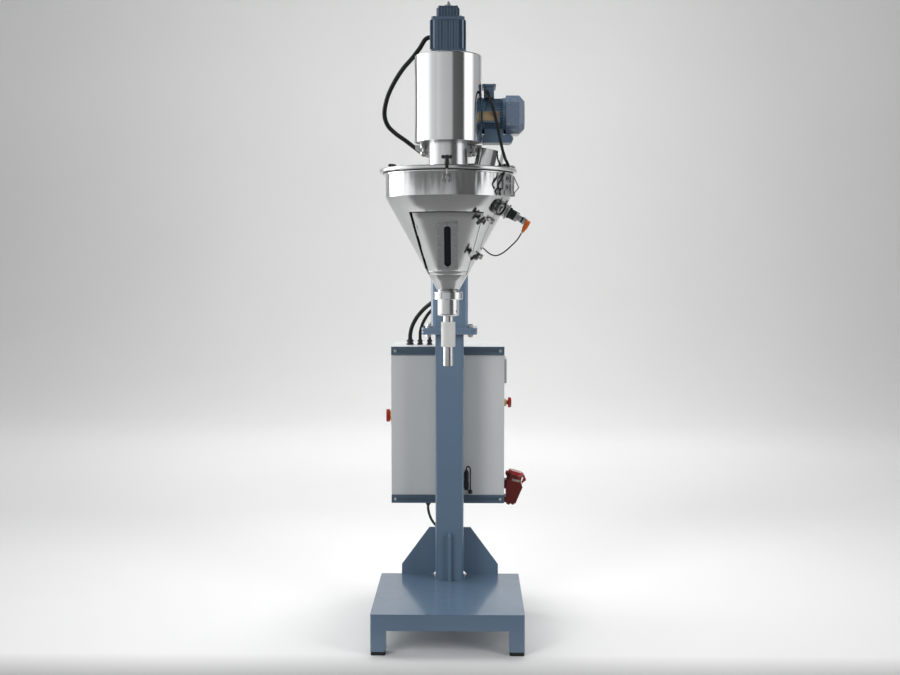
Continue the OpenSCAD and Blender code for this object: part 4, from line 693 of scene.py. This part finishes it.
def sight_screws():
    """Screws round the sight frame."""
    bm = bmesh.new()
    sight = on_cone(0, 1322)
    spots = [(x, (k / 4 - 0.5) * 154) for x in (-25, 25) for k in range(5)]
    for x, y in spots + [(0, -79), (0, 79)]:
        socket_screw(bm, sight @ move(x, y, 5), 4.2, 2.6)
    add("sight_screws", bm, "zinc", "hatch")


def motor_nameplate():
    """Bare nameplate of the gear motor with its rivets."""
    bm = bmesh.new()
    slab(bm, at(139.5, -9, 1745, FRONT), 53, 30, 0.8, r=2)
    add("motor_nameplate", bm, "tan")
    bm = bmesh.new()
    for x in (116, 163):
        for z in (1733, 1757):
            lathe(bm, at(x, -9.8, z, FRONT), [(1.6, 0), (1.5, 0.5), (0.9, 0.9), (0, 1)], sides=12)
    add("motor_nameplate_rivets", bm, "zinc")


def frame_welds():
    """Weld beads of the painted frame."""
    half, front, gusset = 50, 262, (350, 358)
    top, gusset_reach, gusset_top = 135, 175, 308
    bm = bmesh.new()
    for side in (-1, 1):
        for y in gusset:
            bead(bm, [(side * (half + 12), y, top), (side * gusset_reach, y, top)], 2.0)
            bead(bm, [(side * half, y, top + 12), (side * half, y, gusset_top)], 2.0)
    bead(bm, [(-half, front, top), (half, front, top)], 2.2)
    for x in (-half, half):
        bead(bm, [(x, front, top), (x, gusset[0], top)], 2.2)
    # Round the column and round the mast, at their flanges
    for z, reach, corner in ((1017, 50, 8), (1041, 65, 17)):
        ring = []
        for sx, sy, start in CORNERS:
            for k in range(7):
                a = math.radians(start + 15 * k)
                ring.append((sx * (reach - corner) + corner * math.cos(a),
                             310 + sy * (reach - corner) + corner * math.sin(a), z))
        bead(bm, ring, 2.2, closed=True)
    add("frame_welds", bm, "frame")


def hopper_welds():
    """Weld beads of the stainless parts."""
    bm = bmesh.new()
    bead(bm, circle_points(64.5, 1576, 120), 1.0)
    bead(bm, circle_points(36.5, 1177.6, 90), 1.1)
    add("hopper_welds", bm, "cast")


def servo_trim():
    """Servo's four sides: lighter ridges, painted highlight, and near-black sheets, painted shade
    of recessed lines; ribs and screws on its cap.
    """
    middle = 1999.5
    strips, groove_shades, ribs, heads = bmesh.new(), bmesh.new(), bmesh.new(), bmesh.new()
    for quarter in range(4):
        side = turn(90 * quarter, "Z")
        for x in (-44.5, 48.5):
            # Ridges in a lighter paint: painted highlight
            slab(strips, side @ at(x, -55.8, middle, FRONT), 6, 92, 2.4, r=2.5, edge=1.2)
        for x, w in ((-52.5, 6.5), (39, 9)):
            # Thin near-black sheets: painted shade in recessed lines
            slab(groove_shades, side @ at(x, -55.9, middle, FRONT), w, 93, 0.5, r=0.8, edge=0.2)
        for x in (-20, 1, 18):
            slab(groove_shades, side @ at(x, -50.9, middle, FRONT), 1.6, 94, 0.5, r=0.4, edge=0.1)
        for k in range(7):
            slab(ribs, side @ at(-29.5 + 9.6 * k, -35.2, 2073, FRONT), 3.6, 28, 1.9,
                 r=1.2, edge=0.6)
        socket_screw(heads, side @ at(40, -46.5, 2057), 4.5, 4)
    add("servo_ridges", strips, "servo_highlight")
    add("servo_groove_shades", groove_shades, "servo_shade")
    add("servo_cap_ribs", ribs, "servo")
    add("servo_cap_screws", heads, "zinc")


def cowl_screws():
    """Screws of the fan cowl."""
    bm = bmesh.new()
    for z in (1720, 1784):
        socket_screw(bm, at(199, -12, z, FRONT), 4, 2.6)
        socket_screw(bm, at(199, 112, z, REAR), 4, 2.6)
    add("cowl_screws", bm, "zinc")


def hanger_studs():
    """Hanger plate: studs with washers, nuts and dome nuts, and the pads behind them."""
    sides = (-84, 84)
    bm = bmesh.new()
    for x in sides:
        m = at(x, 62, 1660, DOWN)
        lathe(bm, m, [(4, 0), (4, 30)], sides=16)
        lathe(bm, m, [(11.5, 1), (11.5, 3.4)])
        lathe(bm, m, [(9.6, 3.4), (10.2, 4.2), (10.2, 11), (9.4, 12)], hexed=(0, 1, 2, 3))
        lathe(bm, m, [(9.4, 24), (9.8, 24.6), (9.8, 30), (8.6, 31), (8.4, 34), (6, 38), (2.6, 39.6),
                      (0, 40)], hexed=(0, 1, 2))
    add("hanger_studs", bm, "zinc")
    bm = bmesh.new()
    for x in sides:
        slab(bm, at(x, 75.5, 1645, FRONT), 26, 28, 1.2, r=3)
    add("hanger_pads", bm, "cast")


def clamp_port():
    """Blind port with its clamp ring on the cone, in front of the level sensor."""
    port = on_cone(59, 1447)
    bm = bmesh.new()
    lathe(bm, port, [(18, -4), (18, 5), (22, 7), (23, 8.5), (23, 9.6)], sides=40)
    lathe(bm, port, [(15.4, 12), (15.4, 13.6), (14.6, 14.4), (10.6, 14.4), (10.2, 12.4)], sides=40)
    lathe(bm, port, [(6, 12), (6, 17), (5.2, 18), (0, 18.4)], hexed=(0, 1))
    for start, end in ((150, 205), (330, 380)):
        arc_plate(bm, 23.6, 25.6, start, end, 7.6, 14.6, m=port)
    bolt_side = 28
    for way in (bolt_side, bolt_side + 180):
        slab(bm, port @ turn(way, "Z") @ move(27, 0, 7.5), 8, 13, 7, r=2, edge=0.8)
    nut = port @ turn(bolt_side, "Z") @ move(28.5, 0, 11) @ turn(-90, "X")
    lathe(bm, nut, [(2.2, -11), (2.2, 17)], sides=14)
    lathe(bm, nut, [(5, 7), (5, 9.5), (3.8, 13), (3.2, 14)], sides=18)
    for side in (-1, 1):
        wing = nut @ move(side * 7, 0, 12) @ turn(90, "X") @ move(0, 0, -1.2)
        slab(bm, wing, 8.5, 7, 2.4, r=2.6, edge=0.6)
    add("clamp_port", bm, "cast")
    # Near black: the cap with its gasket, and painted shadow on the clamp ring's arcs
    bm = bmesh.new()
    lathe(bm, port, [(23.3, 9.4), (23, 12.2), (19, 13), (0, 13)], sides=40)
    for start, end in ((28, 150), (205, 330)):
        arc_plate(bm, 23.6, 27, start, end, 6.4, 15.6, m=port)
    add("clamp_port_cap_and_shadow", bm, "dark")


def sensor_foot():
    """Clamp disc and collar at the level sensor's foot."""
    foot = on_cone(90, 1441)
    bm = bmesh.new()
    lathe(bm, foot, [(18, 9), (25, 9.6), (26, 11), (26, 14), (25, 15.4), (17, 16)], sides=40)
    add("sensor_disc", bm, "cast")
    bm = bmesh.new()
    lathe(bm, foot, [(21, 16), (21.4, 17), (21.4, 23), (20, 24), (16.6, 24.4)], sides=6)
    add("sensor_collar", bm, "black")


def latch():
    """Cast bracket on the drum's right with its recesses, and the bent black straps."""
    recesses = ((66, 1538), (64, 1509))
    bm = bmesh.new()
    # Plate first, then its ribs: outer radius, azimuths and heights
    for r, az0, az1, z0, z1 in ((209.5, 51, 78, 1483, 1553), (214, 56, 60, 1500, 1550),
                                (215, 73, 78, 1486, 1550), (213, 60, 73, 1519, 1526),
                                (213.5, 60, 72, 1486, 1499)):
        arc_plate(bm, DRUM_R, r, az0, az1, z0, z1)
    for az, z in recesses:
        lathe(bm, at(*round_point(209, az, z), round_point(1, az, 0)),
              [(8.6, 0), (8.6, 3), (7.8, 4), (5.6, 4), (5.2, 1)], sides=20)
    add("latch_bracket", bm, "cast")
    bm = bmesh.new()
    # Straps: radius, azimuth and height of each point
    upper = ((213, 57.5, 1556), (215, 56, 1550), (217, 52.5, 1536), (218, 47.8, 1516),
             (217, 47.4, 1510), (214, 49.2, 1501))
    lower = ((212, 53, 1503), (214, 51.2, 1497), (214, 50.6, 1491), (212, 52, 1482))
    rod(bm, [round_point(*p) for p in upper], 3.8)
    rod(bm, [round_point(*p) for p in lower], 3.2)
    for az, z in recesses:
        lathe(bm, at(*round_point(209.5, az, z), round_point(1, az, 0)),
              [(5.3, 0), (5.3, 1.2), (0, 1.2)], sides=20)
    add("latch_strap", bm, "black")


def lid_rim_boss():
    """Boss on the lid's rim, on the right, with a small round head."""
    bm = bmesh.new()
    slab(bm, at(209, 0, 1572), 22, 34, 10.5, r=7, edge=3)
    lathe(bm, at(209, 0, 1582), [(5.5, 0), (5.5, 3), (4.6, 4), (0, 4.6)], sides=18)
    add("lid_rim_boss", bm, "lid")


def clevis_cheeks():
    """Cheeks of the lid clamps' clevises, spread at the foot."""
    bm = bmesh.new()
    for az in (0, 120, -120):
        clevis = turn(az, "Z") @ move(0, -211.5, 1533)
        for side in (-1, 1):
            cheek = clevis @ move(side * 12.6, 0, 0) @ turn(-side * 7, "Y") @ turn(side * 90, "Y")
            slab(bm, cheek @ move(0, 0, -1.4), 29, 15, 2.8, r=3, edge=0.7)
    add("clevis_cheeks", bm, "cast")


def hatch_lip():
    """Lip along the hatch's lower edge, over the gap."""
    half_angle, steps = 61, 48
    # Heights, and how far each stands off the cone
    section = ((1228.5, 0.4), (1228.7, 1.1), (1229.4, 1.5), (1238, 1.5), (1239, 1.0), (1239.4, 0.2))
    bm = bmesh.new()
    rings = []
    for k in range(steps + 1):
        out = Vector(round_point(1, -half_angle + 2 * half_angle * k / steps, 0))
        rings.append([bm.verts.new(out * (cone_r(z) + off) + Vector((0, 0, z)))
                      for z, off in section])
    loft(bm, rings)
    add("hatch_lip", bm, "cone", "hatch")


def motor_flange():
    """Flange between the casing and the gear motor."""
    bm = bmesh.new()
    slab(bm, at(105.2, 50, 1738, RIGHT), 116, 144, 5.6, r=12, edge=0.8)
    add("motor_flange", bm, "motor")


def socket_label():
    """Bare label on the power socket's collar."""
    bm = bmesh.new()
    arc_plate(bm, 26.6, 29.6, -18, 44, -30.6, -18.6, n=20, edge=0.3,
              m=move(244, 480, 484) @ turn(17, "Y"))
    add("socket_label", bm, "label")


def switches():
    """Thick head of the emergency stop and grip of the main switch."""
    bm = bmesh.new()
    lathe(bm, move(197, 470, 751) @ turn(90, "Y"),
          [(8.4, 16.0), (18.3, 16.0), (19.2, 17.0), (19.3, 25.0), (18.4, 27.6), (16.0, 29.0),
           (0, 29.1)], sides=36)
    add("estop_head", bm, "redbright", "estop_button")
    bm = bmesh.new()
    slab(bm, move(-213, 468, 702) @ turn(-90, "Y") @ move(0, 0, 11.7), 47, 17, 13.4,
         r=7, edge=1.6, segments=8)
    add("isolator_grip", bm, "redbright", "isolator_handle")


for build in (sight_screws, motor_nameplate, frame_welds, hopper_welds, servo_trim, cowl_screws,
              hanger_studs, clamp_port, sensor_foot, latch, lid_rim_boss, clevis_cheeks, hatch_lip,
              motor_flange, socket_label, switches):
    build()


# Studio, in metres

FLOOR_HALF, FLOOR_FRONT, FLOOR_BACK, FLOOR_CURVE, WALL_TOP = 9, -9, 5, 3, 9
FLOOR_COLOR = (0.78, 0.78, 0.77)
# The dark floor colour and the depths in metres where it fades in paint shade in front of the
# object, where the light falls off
FLOOR_PALE, FLOOR_PALER, FLOOR_SHADE = (0.765, 0.765, 0.76), (0.785, 0.785, 0.78), (0.25, 0.25, 0.25)
FLOOR_SHADE_FADE = (-0.66, -0.35)

ROOM_STRENGTH = 1.35
ROOM_TINT = (0.985, 0.995, 1)
# Heights between which the room dims, as the up part of a direction, and its share above them
ROOM_DIM_FROM, ROOM_DIM_LEVEL = (0.14, 0.60), 0.35
# Degrees from the front, positive to the right, and the room's brightness there
ROOM = [(-180, 0.42), (-156, 0.45), (-148, 0.98), (-131, 1.0), (-125, 3.6), (-97, 3.6), (-91, 1.0),
        (-74, 1.0), (-57, 0.55), (-40, 0.46), (-36, 0.53), (-17, 0.42), (13, 0.36), (19, 0.09),
        (55, 0.06), (61, 1.02), (90, 1.0), (100, 0.36), (140, 0.30), (180, 0.42)]

LAMPS = (
    # name, place, aim, width and height, power in W, spread in degrees
    ("key", (-2.4, -3.0, 2.6), (0, 0, 1.2), (1.6, 2.4), 13, 70),
    ("side", (3.0, -2.2, 2.2), (0, 0, 1.2), (1.2, 2.4), 10, 70),
    ("top", (0.2, 1.2, 4.6), (0, 0.6, 0), (2.6, 2.6), 70, 120),
    ("back", (0.0, 3.6, 3.4), (0, 7.5, 1.4), (4.0, 2.0), 120, 180),
)


def floor():
    """Pale floor that curves up behind, with painted shade that darkens it in front of the object.
    """
    bm = bmesh.new()
    curve = [math.radians(t) for t in range(9, 91, 9)]
    profile = [(FLOOR_FRONT, 0), (FLOOR_BACK, 0)]
    profile += [(FLOOR_BACK + FLOOR_CURVE * math.sin(a), FLOOR_CURVE - FLOOR_CURVE * math.cos(a))
                for a in curve]
    profile.append((FLOOR_BACK + FLOOR_CURVE, WALL_TOP))
    rows = [[bm.verts.new((x, y, z)) for x in (-FLOOR_HALF, FLOOR_HALF)] for y, z in profile]
    for lo, hi in zip(rows, rows[1:]):
        bm.faces.new((lo[0], lo[1], hi[1], hi[0]))
    obj = from_bmesh("floor", bm)
    s = Shader("floor_matt", FLOOR_COLOR, rough=0.8, specular=0.2)
    pale = s.mix(s.span(s.noise(0.8), 0, 1), FLOOR_PALE, FLOOR_PALER)
    # Painted shade, darker towards the front
    s.set("Base Color", s.mix(s.span(s.axis("Y"), 1, 0, at=FLOOR_SHADE_FADE), pale, FLOOR_SHADE))
    dress(obj, s.mat)


def room():
    """World of soft bright and dark panels round the object, dimmer overhead."""
    world = bpy.data.worlds.new("studio")
    bpy.context.scene.world = world
    world.use_nodes = True
    w = Nodes(world.node_tree)
    w.tree.nodes.clear()
    coord = w.node("ShaderNodeTexCoord").outputs["Generated"]
    x, y, z = w.node("ShaderNodeSeparateXYZ", {0: coord}).outputs
    angle = w.calc("ARCTAN2", x, w.calc("MULTIPLY", y, -1))
    ramp = w.node("ShaderNodeValToRGB", {"Fac": w.span(angle, 0, 1, at=(-math.pi, math.pi))})
    dim = w.span(z, 1.0, ROOM_DIM_LEVEL, at=ROOM_DIM_FROM, interpolation_type="SMOOTHSTEP")
    fade = w.node("ShaderNodeVectorMath", {0: ramp.outputs["Color"], "Scale": dim},
                  operation="SCALE")
    light = w.node("ShaderNodeBackground", {"Color": fade.outputs[0], "Strength": ROOM_STRENGTH})
    w.node("ShaderNodeOutputWorld", {"Surface": light.outputs[0]})
    stops = ramp.color_ramp.elements
    while len(stops) > 1:
        stops.remove(stops[-1])
    for k, (degrees, level) in enumerate(ROOM):
        place = (degrees + 180) / 360
        stop = stops[0] if k == 0 else stops.new(place)
        stop.position = place
        stop.color = (*(level * c for c in ROOM_TINT), 1)


def lamps():
    """Soft area lamps that steel doesn't mirror."""
    for name, place, aim, size, power, spread in LAMPS:
        lamp = bpy.data.lights.new(name, "AREA")
        lamp.shape, lamp.energy, lamp.spread = "RECTANGLE", power, math.radians(spread)
        lamp.size, lamp.size_y = size
        obj = new_object(name, lamp)
        obj.location = place
        obj.rotation_euler = (Vector(aim) - Vector(place)).to_track_quat("-Z", "Y").to_euler()
        obj.visible_glossy = False


floor()
room()
lamps()
